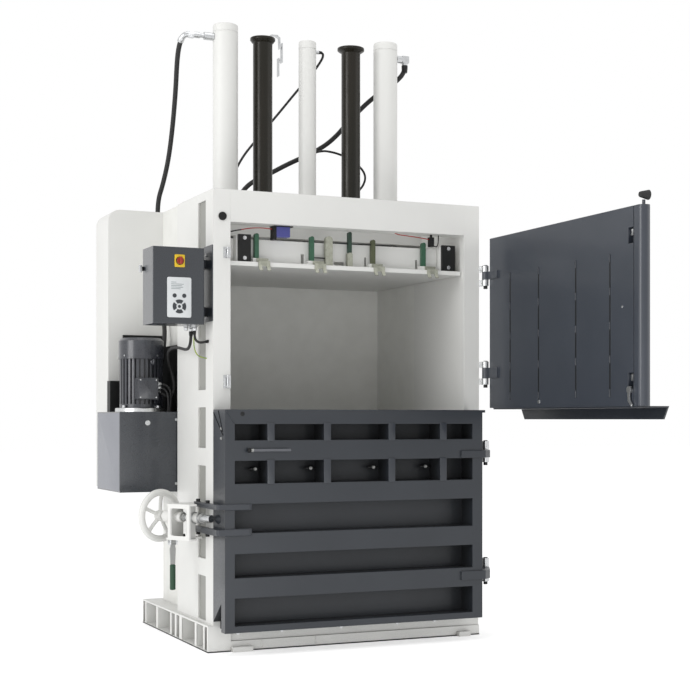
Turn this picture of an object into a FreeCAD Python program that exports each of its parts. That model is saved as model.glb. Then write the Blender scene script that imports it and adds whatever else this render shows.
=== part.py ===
import FreeCAD, Part
import math
import os
import re
import Sketcher

os.makedirs("parts", exist_ok=True)
doc = FreeCAD.newDocument("RecyclingBaler")

# A vertical recycling baler with two side-hung doors, drawn with the origin on the floor
# under the middle of the base: X to the right, Y into the depth, Z up, millimetres.
# Every driving size is a cell of the sheet; expressions below name the cells.

DRIVING_SIZES = {
    # frame
    "frame_width": 1347, "jamb_face": 81.5, "front_reach": 560, "side_depth": 571,
    "wall_depth": 485, "frame_height": 1967, "wall_rise": 27, "lintel_height": 146,
    "sheet": 8, "portal_rib_set": 380, "slot_set": 112, "slot_width": 118, "slot_round": 4,
    "wall_sheet": 16.5, "rear_sheet": 12, "lintel_depth": 100, "lintel_wall": 10,
    # base
    "base_top": 122, "base_flare": 24.5, "base_lip": 0.5, "base_tail": 64, "ledge_top": 48,
    "ledge_set": 15, "ledge_face": 8, "corner_width": 108, "foot_reach": 30, "foot_top": 24,
    "floor_sheet": 20, "channel_width": 44, "channel_depth": 12,
    # crosshead, cylinders and guide rods
    "press_set": 575, "beam_half": 90, "plate_sheet": 12, "opening_rim": 25,
    "beam_wall": 14, "cyl_lift": 12,
    "outer_cyl_x": 430, "outer_cyl_r": 61.5, "outer_wall": 11.5, "outer_rod_r": 35,
    "outer_length": 1032, "mid_cyl_r": 44, "mid_wall": 8, "mid_rod_r": 25, "mid_length": 996,
    "gland_length": 30, "end_cap": 27, "fit_gap": 0.05, "hole_gap": 0.5, "guide_x": 237,
    "guide_r": 48, "guide_rise": 843, "cap_height": 28, "left_cap_lip": 14,
    "right_cap_lip": 20.5, "bush_wall": 16, "bush_lip": 4, "bush_drop": 8,
    "bush_flange": 12, "port_drop": 65, "mid_port_drop": 47, "hose_stand": 104.5,
    # platen
    "platen_gap": 4, "platen_set": 30, "platen_rear_gap": 8, "platen_drop": 193,
    "platen_sheet": 20, "platen_height": 145, "rib_step": 15, "rib_set": 60, "rib_deep": 40,
    "beam_deep": 140, "core_wall": 14, "rib_wide": 26, "rib_low": 20, "block_set": 8,
    "block_thick": 16, "block_gap": 1,
    "post_width": 20, "post_set": 24, "post_deep": 22, "post_foot": 20, "post_height": 115,
    "clip_width": 56, "clip_sheet": 6, "clip_drop": 19, "clip_rise": 20, "clip_lap": 24,
    # lower door
    "ldoor_set": 71.5, "ldoor_gap": 2, "ldoor_depth": 170, "ldoor_drop": 14,
    "ldoor_height": 986, "pocket_depth": 116, "stile_left": 45, "stile_right": 52.5,
    "stile_depth": 54, "divider": 34, "lip": 15, "lip_sheet": 12, "ldoor_sheet": 10,
    "corner_deep": 33, "corner_rise": 32, "corner_run": 94,
    # lock arms
    "arm_out": 40.5, "arm_thick": 20, "arm_behind": 164, "arm_ahead": 12,
    # hinges
    "hinge_out": 23, "hinge_ahead": 25, "barrel_r": 17, "pin_r": 10, "leaf_gap": 0.5,
    # upper door, open
    "udoor_out": 9, "udoor_thick": 54, "udoor_set": 27, "udoor_free": 38, "door_gap": 11,
    "udoor_height": 822, "udoor_sheet": 6, "seam_width": 7, "seam_deep": 4,
    "seam_margin": 37, "seam_length": 604, "skirt_out": 152.5, "skirt_sheet": 8,
    "skirt_drop": 55, "web_sheet": 7, "bullnose": 26,
    # control box
    "cbox_gap": 38, "cbox_width": 238, "cbox_depth": 170, "cbox_low": 1475,
    "cbox_height": 342, "cdoor_depth": 14, "cbox_sheet": 3, "plate_low": 1492,
    "plate_height": 344, "plate_deep": 130, "plate_thick": 4, "knob_stem_r": 12,
    # cabinet, motor and housing
    "cab_gap": 57, "cab_width": 287, "cab_set": 14, "cab_depth": 455, "cab_low": 700,
    "cab_height": 386, "cab_sheet": 3, "motor_in": 124.5, "motor_set": 220,
    "flange_r": 126, "flange_sheet": 20, "motor_r": 106, "fin_depth": 18,
    "motor_height": 242, "fin_gap": 9, "cowl_lip": 4, "cowl_height": 102, "cowl_sheet": 3,
    "shaft_r": 12, "house_reach": 285, "house_width": 333.5, "house_depth": 264,
    "house_round": 60, "house_sheet": 4,
    # lock
    "wheel_out": 162, "wheel_set": 295, "lock_z": 605, "wheel_rim_r": 107, "rim_r": 16,
    "lock_turn": 24.0, "bolt_r": 17, "bolt_start": 185, "bolt_length": 170, "screw_r": 9,
    "screw_reach": 145, "guide_lap": 20, "guide_length": 85, "guide_wall": 5,
    "deck_up": 54, "deck_down": 94, "deck_sheet": 8, "boss_r": 28, "boss_start": 44,
    "web_start": 112,
}

# Places that follow from the driving sizes: a level, a face or a radius each.
DERIVED_SIZES = {
    "side_x": "frame_width / 2", "jamb_x": "side_x - jamb_face", "front_y": "-front_reach",
    "step_y": "front_y + side_depth", "wall_y": "step_y + wall_depth",
    "frame_top": "base_top + frame_height", "wall_top": "frame_top + wall_rise",
    "lintel_low": "frame_top - lintel_height", "portal_rib_y": "front_y + portal_rib_set",
    "slot_front": "front_y + slot_set", "slot_back": "slot_front + slot_width",
    "wall_x": "jamb_x + wall_sheet", "inner_y": "wall_y - rear_sheet",
    "base_left": "-side_x - base_flare", "base_right": "side_x + base_lip",
    "base_back": "wall_y + base_tail", "corner_x": "base_left + corner_width",
    "foot_y": "front_y - foot_reach", "floor_top": "base_top + floor_sheet",
    "press_y": "front_y + press_set", "beam_front": "press_y - beam_half",
    "beam_back": "press_y + beam_half", "beam_top": "frame_top - plate_sheet",
    "outer_bore_r": "outer_cyl_r - outer_wall", "mid_bore_r": "mid_cyl_r - mid_wall",
    "cyl_low": "lintel_low + cyl_lift", "gland_top": "cyl_low + gland_length",
    "outer_top": "cyl_low + outer_length", "mid_top": "cyl_low + mid_length",
    "guide_top": "frame_top + guide_rise", "cap_top": "guide_top + cap_height",
    "port_x": "outer_cyl_x + outer_cyl_r", "outer_port": "outer_top - port_drop",
    "mid_port": "mid_top - mid_port_drop", "right_port": "outer_port - 8",
    "hose_end_x": "port_x + hose_stand",
    "left_cap_r": "guide_r + left_cap_lip", "right_cap_r": "guide_r + right_cap_lip",
    "bush_r": "guide_r + bush_wall", "bush_flange_r": "bush_r + bush_lip",
    "bush_low": "lintel_low - bush_drop", "bush_top": "frame_top + bush_flange",
    "platen_x": "jamb_x - platen_gap", "platen_front": "front_y + platen_set",
    "platen_back": "inner_y - platen_rear_gap", "platen_low": "lintel_low - platen_drop",
    "platen_skin": "platen_low + platen_sheet", "platen_top": "platen_low + platen_height",
    "rib_top": "platen_top - rib_step", "rib_front": "platen_front + rib_set",
    "block_low": "platen_skin + block_gap", "block_front": "platen_front + block_set",
    "block_back": "block_front + block_thick", "post_front": "platen_front + post_set",
    "post_back": "post_front + post_deep", "post_low": "platen_skin + post_foot",
    "post_high": "post_low + post_height", "clip_low": "platen_low - clip_drop",
    "clip_high": "platen_skin + clip_rise",
    "ldoor_left": "-side_x", "ldoor_right": "side_x - ldoor_set",
    "ldoor_back": "front_y - ldoor_gap", "ldoor_front": "ldoor_back - ldoor_depth",
    "ldoor_low": "base_top - ldoor_drop", "sill_top": "ldoor_low + ldoor_height",
    "pocket_floor": "ldoor_front + pocket_depth", "pocket_left": "ldoor_left + stile_left",
    "pocket_right": "ldoor_right - stile_right", "lip_right": "ldoor_right + lip",
    "lip_low": "sill_top - lip_sheet", "arm_left": "-side_x - arm_out",
    "arm_right": "arm_left + arm_thick", "arm_rear": "ldoor_back + arm_behind",
    "arm_front": "ldoor_front - arm_ahead",
    "hinge_x": "side_x + hinge_out", "hinge_y": "front_y - hinge_ahead",
    "udoor_x": "hinge_x + udoor_out", "udoor_near": "hinge_y - udoor_set",
    "udoor_far": "udoor_near - (frame_width - udoor_free)", "udoor_low": "sill_top + door_gap",
    "udoor_top": "udoor_low + udoor_height", "seam_low": "udoor_low + seam_margin",
    "seam_high": "seam_low + seam_length", "skirt_x": "udoor_x + skirt_out",
    "skirt_low": "udoor_low - skirt_drop", "web_low": "udoor_low - web_sheet",
    "cbox_right": "-side_x - cbox_gap", "cbox_left": "cbox_right - cbox_width",
    "cbox_front": "front_y", "cbox_back": "cbox_front + cbox_depth",
    "cbox_high": "cbox_low + cbox_height", "cdoor_back": "cbox_front + cdoor_depth",
    "cab_right": "-wall_x - cab_gap", "cab_left": "cab_right - cab_width",
    "cab_front": "step_y + cab_set", "cab_back": "cab_front + cab_depth",
    "cab_high": "cab_low + cab_height", "motor_x": "cab_right - motor_in",
    "motor_y": "cab_front + motor_set", "flange_top": "cab_high + flange_sheet",
    "motor_core_r": "motor_r - fin_depth", "motor_top": "flange_top + motor_height",
    "cowl_r": "motor_r + cowl_lip", "cowl_top": "motor_top + cowl_height",
    "house_left": "-wall_x - house_reach", "house_right": "house_left + house_width",
    "house_back": "wall_y + house_depth", "house_low": "cab_low",
    "wheel_x": "-side_x - wheel_out", "wheel_y": "front_y + wheel_set",
    "bolt_end": "bolt_start + bolt_length", "screw_end": "bolt_start + screw_reach",
    "guide_start": "bolt_start + guide_lap", "guide_end": "guide_start + guide_length",
    "deck_low": "lock_z - deck_down - deck_sheet", "deck_high": "lock_z + deck_up",
}

NAMED_SIZES = DRIVING_SIZES | DERIVED_SIZES
sheet = doc.addObject("Spreadsheet::Sheet", "Sizes")
for row, (alias, value) in enumerate(NAMED_SIZES.items(), start=1):
    sheet.set(f"A{row}", alias)
    sheet.set(f"B{row}", str(value) if alias in DRIVING_SIZES else "=" + value)
    sheet.setAlias(f"B{row}", alias)
doc.recompute()

SUBPARTS = []
X_AXIS, Y_AXIS, Z_AXIS = FreeCAD.Vector(1, 0, 0), FreeCAD.Vector(0, 1, 0), FreeCAD.Vector(0, 0, 1)
TURN_TO = {
    "x": FreeCAD.Rotation(Y_AXIS, 90),
    "y": FreeCAD.Rotation(X_AXIS, -90),
    "z": FreeCAD.Rotation(),
}


def bound(text):
    """Return an expression with each alias of the sheet written as Sizes.alias."""
    return re.sub(r"[a-z][a-z_0-9]*",
                  lambda word: "Sizes." + word.group() if word.group() in NAMED_SIZES
                  else word.group(), str(text))


def size(text):
    """Value of an expression in the sheet's cells."""
    return float(sheet.evalExpression(bound(text)))


def keep(item, name):
    """Name an object after its node and list it for export."""
    item.Label = name
    SUBPARTS.append(item)
    return item


def box(name, x, y, z):
    """Box between three pairs of expressions."""
    item = doc.addObject("Part::Box", name)
    for prop, axis, (low, high) in (("Length", "x", x), ("Width", "y", y), ("Height", "z", z)):
        item.setExpression(prop, bound(f"({high}) - ({low})"))
        item.setExpression(f"Placement.Base.{axis}", bound(low))
    return item


def rod(name, axis, at, radius, low, high):
    """Cylinder along an axis; at gives the two other coordinates in x, y, z order."""
    item = doc.addObject("Part::Cylinder", name)
    item.Placement = FreeCAD.Placement(FreeCAD.Vector(), TURN_TO[axis])
    item.setExpression("Radius", bound(radius))
    item.setExpression("Height", bound(f"({high}) - ({low})"))
    place = dict(zip([other for other in "xyz" if other != axis], at))
    place[axis] = low
    for other, text in place.items():
        item.setExpression(f"Placement.Base.{other}", bound(text))
    return item


def joined(name, parts):
    """Fuse of several objects."""
    item = doc.addObject("Part::MultiFuse", name)
    item.Shapes = parts
    return item


def group(name, parts):
    """Separate solids in one node."""
    item = doc.addObject("Part::Compound", name)
    item.Links = parts
    return item


def less(name, base, tools):
    """Base object with the tools cut out of it."""
    tool = tools[0] if len(tools) == 1 else joined(name + "_tools", tools)
    item = doc.addObject("Part::Cut", name)
    item.Base = base
    item.Tool = tool
    return item


def mirrored(name, source):
    """Mirror image across the machine's middle plane."""
    item = doc.addObject("Part::Mirroring", name)
    item.Source = source
    item.Normal = X_AXIS
    return item


def rounded(name, base, radius, wanted):
    """Fillet on the base's edges for which wanted(edge) holds."""
    doc.recompute()
    edges = [number for number, edge in enumerate(base.Shape.Edges, start=1) if wanted(edge)]
    item = doc.addObject("Part::Fillet", name)
    item.Base = base
    item.Edges = [(number, size(radius), size(radius)) for number in edges]
    return item


def along(axis):
    """Test for straight edges that run along an axis."""
    return lambda edge: (edge.Curve.TypeId == "Part::GeomLine"
                         and abs(edge.tangentAt(edge.FirstParameter).dot(axis)) > 0.999)


SKETCH_PLANES = {"xy": ("XY_Plane", 1), "xz": ("XZ_Plane", -1), "yz": ("YZ_Plane", 1)}


def profile(body, name, plane, corners, offset):
    """Closed sketch through corners, each corner bound to its two expressions."""
    role, sense = SKETCH_PLANES[plane]
    sketch = body.newObject("Sketcher::SketchObject", name)
    origin_plane = [item for item in body.Origin.OriginFeatures if item.Role == role][0]
    sketch.AttachmentSupport = (origin_plane, "")
    sketch.MapMode = "FlatFace"
    sketch.setExpression("AttachmentOffset.Base.z", bound(f"{sense} * ({offset})"))
    points = [FreeCAD.Vector(size(u), size(v), 0) for u, v in corners]
    count = len(points)
    for index in range(count):
        sketch.addGeometry(Part.LineSegment(points[index], points[(index + 1) % count]), False)
    for index, (u, v) in enumerate(corners):
        sketch.addConstraint(Sketcher.Constraint("Coincident", index, 2, (index + 1) % count, 1))
        for kind, text in (("DistanceX", u), ("DistanceY", v)):
            key = sketch.addConstraint(Sketcher.Constraint(kind, -1, 1, index, 1, size(text)))
            sketch.setExpression(f"Constraints[{key}]", bound(text))
    return sketch


def prism(name, plane, corners, low, high):
    """Body with one pad of a polygon between two levels along the plane's normal."""
    body = doc.addObject("PartDesign::Body", name)
    start = high if plane == "xz" else low
    sketch = profile(body, name + "_sketch", plane, corners, start)
    pad = body.newObject("PartDesign::Pad", name + "_pad")
    pad.Profile = sketch
    pad.setExpression("Length", bound(f"({high}) - ({low})"))
    return body


def turned(name, corners, x, y):
    """Body of revolution about a vertical line at x, y; corners are radius and height."""
    body = doc.addObject("PartDesign::Body", name)
    sketch = profile(body, name + "_sketch", "xz", corners, "0")
    turn = body.newObject("PartDesign::Revolution", name + "_turn")
    turn.Profile = sketch
    turn.ReferenceAxis = (sketch, ["V_Axis"])
    turn.Angle = 360
    body.setExpression("Placement.Base.x", bound(x))
    body.setExpression("Placement.Base.y", bound(y))
    return body


def shaped(name, shape, place=None):
    """Part::Feature for a shape worked out from the sheet's values."""
    item = doc.addObject("Part::Feature", name)
    item.Shape = shape
    if place is not None:
        item.Placement = place
    return item


def hex_bolt(at, direction, across, head, washer=0.0):
    """Bolt head with a washer, standing on the point at."""
    radius = across / math.sqrt(3)
    ring = [FreeCAD.Vector(radius * math.cos(math.radians(60 * k)),
                           radius * math.sin(math.radians(60 * k)), washer) for k in range(7)]
    solid = Part.Face(Part.makePolygon(ring)).extrude(FreeCAD.Vector(0, 0, head))
    if washer:
        solid = solid.fuse(Part.makeCylinder(1.05 * across, washer))
    solid.Placement = FreeCAD.Placement(at, FreeCAD.Rotation(Z_AXIS, direction))
    return solid


def bolts(name, places, direction, across, head, washer=0.0):
    """Group of like bolt heads."""
    solids = [hex_bolt(FreeCAD.Vector(*[size(text) for text in place]), direction, across, head,
                       washer) for place in places]
    return shaped(name, Part.makeCompound(solids))


def hose_path(corners):
    """Straight runs joined by tangent arcs, each as large as its two runs allow."""
    edges = []
    radii = []
    start = corners[0]
    for before, corner, after in zip(corners, corners[1:], corners[2:]):
        back = (before - corner).normalize()
        ahead = (after - corner).normalize()
        half_turn = (math.pi - back.getAngle(ahead)) / 2
        cut = 0.45 * min((before - corner).Length, (after - corner).Length)
        radii.append(cut / math.tan(half_turn))
        first = corner + back * cut
        last = corner + ahead * cut
        bisector = (back + ahead).normalize()
        centre_way = cut / math.sin(half_turn) if half_turn > 0 else 0
        middle = corner + bisector * (centre_way - radii[-1])
        edges.append(Part.LineSegment(start, first).toShape())
        edges.append(Part.Arc(first, middle, last).toShape())
        start = last
    edges.append(Part.LineSegment(start, corners[-1]).toShape())
    return Part.Wire(edges), radii


def hose(name, points, diameter):
    """Tube along a hand-chosen route."""
    corners = [FreeCAD.Vector(*[size(value) for value in point]) for point in points]
    path, radii = hose_path(corners)
    ring = Part.Wire(Part.makeCircle(diameter / 2, corners[0], corners[1] - corners[0]))
    tube = path.makePipeShell([ring], True, True)
    expected = math.pi * diameter ** 2 / 4 * path.Length
    print(name, "radii", [round(radius) for radius in radii], "length", round(path.Length),
          "volume ratio", round(tube.Volume / expected, 4))
    return shaped(name, tube)


# Welded base: floor and deck plates with upright ribs between, open-ended to both sides.
BASE_RIBS = ((-510, -488), (-385, -356), (-147, -105), (-57, -27), (27, 52), (273, 305),
             (494, 514))


def base_frame():
    run = ("base_left", "base_right")
    plates = [box("base_floor", run, ("front_y", "base_back"), ("0", "sheet"))]
    plates.append(box("base_deck", run, ("front_y", "base_back"),
                      ("base_top - sheet", "base_top")))
    for number, (front, back) in enumerate(BASE_RIBS, start=1):
        plates.append(box(f"base_rib_{number}", run, (front, back),
                          ("sheet", "base_top - sheet")))
    plates.append(box("base_rear", run, ("base_back - sheet", "base_back"),
                      ("sheet", "base_top - sheet")))
    plates.append(box("base_corner", ("base_left", "corner_x"),
                      ("front_y", "front_y + ledge_set"), ("sheet", "base_top - sheet")))
    plates.append(box("base_ledge", ("corner_x", "base_right"),
                      ("front_y", "front_y + ledge_set"), ("sheet", "ledge_top")))
    plates.append(box("base_apron", ("corner_x", "base_right"),
                      ("front_y + ledge_face", "front_y + ledge_set"),
                      ("ledge_top", "base_top - sheet")))
    for number, (left, right) in enumerate(((-589, -494), (552, 613)), start=1):
        plates.append(box(f"foot_{number}", (left, right), ("foot_y", "front_y"),
                          ("0", "foot_top")))
    keep(group("base_frame", plates), "base_frame")


SLOT_LEVELS = ((131, 334), (413, 838), (919, 1105), (1185, 2050))


def side_frames():
    outer = box("side_outer", ("-side_x", "-jamb_x"), ("front_y", "step_y"),
                ("base_top", "frame_top"))
    fore = box("side_fore_cell", ("-side_x + sheet", "-jamb_x - sheet"),
               ("front_y + sheet", "portal_rib_y"), ("base_top + sheet", "frame_top - sheet"))
    aft = box("side_aft_cell", ("-side_x + sheet", "-jamb_x - sheet"),
              ("portal_rib_y + sheet", "step_y - sheet"),
              ("base_top + sheet", "frame_top - sheet"))
    tools = [fore, aft]
    for number, (low, high) in enumerate(SLOT_LEVELS, start=1):
        window = box(f"side_slot_{number}", ("-side_x - sheet", "-side_x + sheet"),
                     ("slot_front", "slot_back"), (low, high))
        tools.append(rounded(f"side_slot_{number}_round", window, "slot_round", along(X_AXIS)))
    left = keep(less("left_side_frame", outer, tools), "left_side_frame")
    keep(mirrored("right_side_frame", left), "right_side_frame")


def front_lintel():
    outer = box("lintel_outer", ("-jamb_x", "jamb_x"), ("front_y", "front_y + lintel_depth"),
                ("lintel_low", "frame_top"))
    core = box("lintel_core", ("-jamb_x + lintel_wall", "jamb_x - lintel_wall"),
               ("front_y + lintel_wall", "front_y + lintel_depth - lintel_wall"),
               ("lintel_low + lintel_wall", "frame_top - lintel_wall"))
    keep(less("front_lintel", outer, [core]), "front_lintel")


def chamber():
    left = box("left_wall", ("-wall_x", "-jamb_x"), ("step_y", "wall_y"),
               ("base_top", "wall_top"))
    rear = box("rear_wall", ("-jamb_x", "jamb_x"), ("inner_y", "wall_y"),
               ("base_top", "wall_top"))
    keep(group("chamber_walls", [left, mirrored("right_wall", left), rear]), "chamber_walls")
    slab = box("floor_slab", ("-jamb_x", "jamb_x"), ("front_y", "inner_y"),
               ("base_top", "floor_top"))
    grooves = [box(f"floor_channel_{number}", (f"{x} - channel_width / 2",
                                               f"{x} + channel_width / 2"),
                   ("front_y - 1", "inner_y + 1"), ("floor_top - channel_depth",
                                                    "floor_top + 1"))
               for number, x in enumerate(CLIP_X, start=1)]
    keep(less("chamber_floor", slab, grooves), "chamber_floor")


# Crosshead: top plate and hollow beam, bored for three cylinders and two guide bushes.
def tube_holes(prefix, low, high):
    places = (("-outer_cyl_x", "outer_cyl_r + hole_gap"), ("outer_cyl_x", "outer_cyl_r + hole_gap"),
              ("0", "mid_cyl_r + hole_gap"), ("-guide_x", "bush_r + hole_gap"),
              ("guide_x", "bush_r + hole_gap"))
    holes = [rod(f"{prefix}_hole_{number}", "z", (x, "press_y"), radius, low, high)
             for number, (x, radius) in enumerate(places, start=1)]
    holes.append(box(f"{prefix}_trip_slot", (-168, -124), ("press_y - 20", "press_y + 20"),
                     (low, high)))
    return holes


def crosshead():
    plate = box("top_plate_blank", ("-jamb_x", "jamb_x"), ("front_y + lintel_depth", "inner_y"),
                ("beam_top", "frame_top"))
    openings = [box(f"top_opening_{number}", across, ("front_y + lintel_depth + opening_rim",
                                                      "beam_front - opening_rim"),
                    ("beam_top - 1", "frame_top + 1"))
                for number, across in enumerate((("-jamb_x + opening_rim", "-opening_rim"),
                                                 ("opening_rim", "jamb_x - opening_rim")),
                                                start=1)]
    bored = less("top_plate", plate, openings + tube_holes("plate", "beam_top - 1",
                                                           "frame_top + 1"))
    outer = box("beam_outer", ("-jamb_x", "jamb_x"), ("beam_front", "beam_back"),
                ("lintel_low", "beam_top"))
    core = box("beam_core", ("-jamb_x + beam_wall", "jamb_x - beam_wall"),
               ("beam_front + beam_wall", "beam_back - beam_wall"),
               ("lintel_low + beam_wall", "beam_top - beam_wall"))
    beam = less("crosshead_beam", outer, [core] + tube_holes("beam", "lintel_low - 1",
                                                             "beam_top + 1"))
    keep(group("crosshead", [bored, beam]), "crosshead")


def cylinder(name, x, outer, bore, shaft, top):
    wall = rod(name + "_outer", "z", (x, "press_y"), outer, "cyl_low", top)
    rim = rounded(name + "_rim", wall, "sheet", lambda edge: edge.CenterOfMass.z > size(top) - 1
                  and edge.Curve.TypeId == "Part::GeomCircle")
    hollow = rod(name + "_bore", "z", (x, "press_y"), bore, "gland_top", f"{top} - end_cap")
    gland = rod(name + "_gland", "z", (x, "press_y"), f"{shaft} + fit_gap", "cyl_low - 1",
                "gland_top + 1")
    return less(name, rim, [hollow, gland])


def piston_rod(name, x, bore, shaft, top):
    stem = rod(name + "_stem", "z", (x, "press_y"), shaft, "platen_top", f"{top} - end_cap - 70")
    piston = rod(name + "_piston", "z", (x, "press_y"), f"{bore} - fit_gap",
                 f"{top} - end_cap - 70", f"{top} - end_cap - 6")
    return joined(name, [stem, piston])


def press_cylinders():
    outer = ("outer_cyl_r", "outer_bore_r", "outer_rod_r", "outer_top")
    mid = ("mid_cyl_r", "mid_bore_r", "mid_rod_r", "mid_top")
    keep(group("cylinder_barrels", [cylinder("left_cylinder", "-outer_cyl_x", *outer),
                                    cylinder("right_cylinder", "outer_cyl_x", *outer),
                                    cylinder("mid_cylinder", "0", *mid)]), "cylinder_barrels")
    keep(group("piston_rods", [piston_rod("left_piston", "-outer_cyl_x", *outer[1:]),
                               piston_rod("right_piston", "outer_cyl_x", *outer[1:]),
                               piston_rod("mid_piston", "0", *mid[1:])]), "piston_rods")


def guide_rods():
    rods = []
    for side, sign in (("left", -1), ("right", 1)):
        shaft = rod(f"{side}_guide", "z", (f"{sign} * guide_x", "press_y"), "guide_r",
                    "platen_top", "guide_top")
        cap = rod(f"{side}_cap", "z", (f"{sign} * guide_x", "press_y"), f"{side}_cap_r",
                  "guide_top", "cap_top")
        cap_round = rounded(f"{side}_cap_round", cap, "sheet", lambda edge:
                            edge.Curve.TypeId == "Part::GeomCircle"
                            and edge.CenterOfMass.z > size("cap_top") - 1)
        rods.append(joined(f"{side}_guide_rod", [shaft, cap_round]))
    keep(group("guide_rods", rods), "guide_rods")
    bush = turned("left_bush", (("guide_r + fit_gap", "bush_low"), ("bush_r", "bush_low"),
                                ("bush_r", "frame_top"), ("bush_flange_r", "frame_top"),
                                ("bush_flange_r", "bush_top"), ("guide_r + fit_gap", "bush_top")),
                  "-guide_x", "press_y")
    keep(group("guide_bushes", [bush, mirrored("right_bush", bush)]), "guide_bushes")


# Zigzag strip that hangs from the left guide cap and trips the stroke switch; its corners
# are measured from the cap's right-hand edge and top.
TRIP_LINE = ((3, 2.5), (24, -7), (26, -60), (37, -34), (37, -128), (19, -110), (19, -197))
TRIP_THICK, TRIP_WIDE = 5, 24


def trip_strip():
    edges = []
    corners = [FreeCAD.Vector(size("-guide_x + left_cap_r") + out,
                              size("press_y") - TRIP_WIDE / 2, size("cap_top") + rise)
               for out, rise in TRIP_LINE]
    for a, b in zip(corners, corners[1:]):
        along_run = (b - a).normalize()
        side = along_run.cross(Y_AXIS) * (TRIP_THICK / 2)
        ring = Part.makePolygon([a - side, b - side, b + side, a + side, a - side])
        edges.append(Part.Face(ring).extrude(FreeCAD.Vector(0, TRIP_WIDE, 0)))
        edges.append(Part.makeCylinder(TRIP_THICK / 2, TRIP_WIDE, b, Y_AXIS))
    tab = Part.makeBox(TRIP_WIDE * 1.5, TRIP_WIDE, TRIP_THICK,
                       FreeCAD.Vector(corners[0].x - TRIP_WIDE, corners[0].y, size("cap_top")))
    edges.append(tab)
    keep(shaped("trip_strip", edges[0].multiFuse(edges[1:])), "trip_strip")


# Platen: pressing plate with beams on it, guide blocks, strap guides and strap clips.
CLIP_X = (-422, -146, 154, 434)
POST_X = (-448, -176, 136, 402)
GREY_POST_X, MIDDLE_POST_X = -91, 16
BLOCK_X = (("-platen_x + 47", "-platen_x + 106"), ("platen_x - 95", "platen_x - 26"))
SLITS = (((-219, -204), 52), ((104, 113), 52), ((372, 384), 52), ((-53, -1), 24))
RIB_X = ("-platen_x + 13", -287, -13, 261, "platen_x - 13 - rib_wide")
# Side view of a strap clip: a strip bent over the platen's front edge.
CLIP_LINE = (("platen_front + clip_lap", "platen_skin"), ("platen_front + clip_lap", "clip_high"),
             ("platen_front + clip_lap - clip_sheet", "clip_high"),
             ("platen_front + clip_lap - clip_sheet", "platen_skin + clip_sheet"),
             ("platen_front - clip_sheet", "platen_skin + clip_sheet"),
             ("platen_front - 2 * clip_sheet", "clip_low"), ("platen_front - clip_sheet",
                                                             "clip_low"),
             ("platen_front", "platen_low - clip_sheet"), ("platen_front", "platen_skin"))


def platen():
    skin = box("platen_skin_plate", ("-platen_x", "platen_x"), ("platen_front", "platen_back"),
               ("platen_low", "platen_skin"))
    parts = [skin]
    for number, front in enumerate(("rib_front", "press_y - beam_deep / 2",
                                    "platen_back - rib_deep"), start=1):
        deep = "beam_deep" if number == 2 else "rib_deep"
        top = "platen_top" if number == 2 else "rib_top"
        parts.append(box(f"platen_beam_{number}", ("-platen_x", "platen_x"),
                         (front, f"{front} + {deep}"), ("platen_skin", top)))
    for number, x in enumerate(RIB_X, start=1):
        parts.append(box(f"platen_rib_{number}", (x, f"{x} + rib_wide"),
                         ("rib_front", "platen_back"), ("platen_skin", "rib_top - rib_low")))
    parts += [box(f"post_foot_{number}", (f"{x} - post_width", f"{x} + post_width"),
                  ("post_front", "rib_front"), ("platen_skin", "post_low"))
              for number, x in enumerate(POST_X, start=1)]
    for number, (left, right) in enumerate(BLOCK_X, start=1):
        parts.append(box(f"block_bracket_{number}", (f"{left} - 8", f"{right} + 4"),
                         ("block_back", "rib_front"), ("platen_skin", "platen_top - 4")))
    core = box("platen_beam_core", ("-platen_x + core_wall", "platen_x - core_wall"),
               ("press_y - beam_deep / 2 + core_wall", "press_y + beam_deep / 2 - core_wall"),
               ("platen_skin + core_wall", "platen_top - core_wall"))
    slits = [box(f"platen_slit_{number}", across, ("rib_front - 1", "rib_front + rib_deep - 8"),
                 ("platen_skin + 9", f"platen_skin + {high}"))
             for number, (across, high) in enumerate(SLITS, start=1)]
    keep(less("platen", joined("platen_solid", parts), slits + [core]), "platen")


def round_top(name, post, radius):
    """Post with its two upper edges rounded."""
    top = post.Shape.BoundBox.ZMax
    return rounded(name, post, radius, lambda edge: along(Y_AXIS)(edge)
                   and edge.CenterOfMass.z > top - 1)


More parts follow.
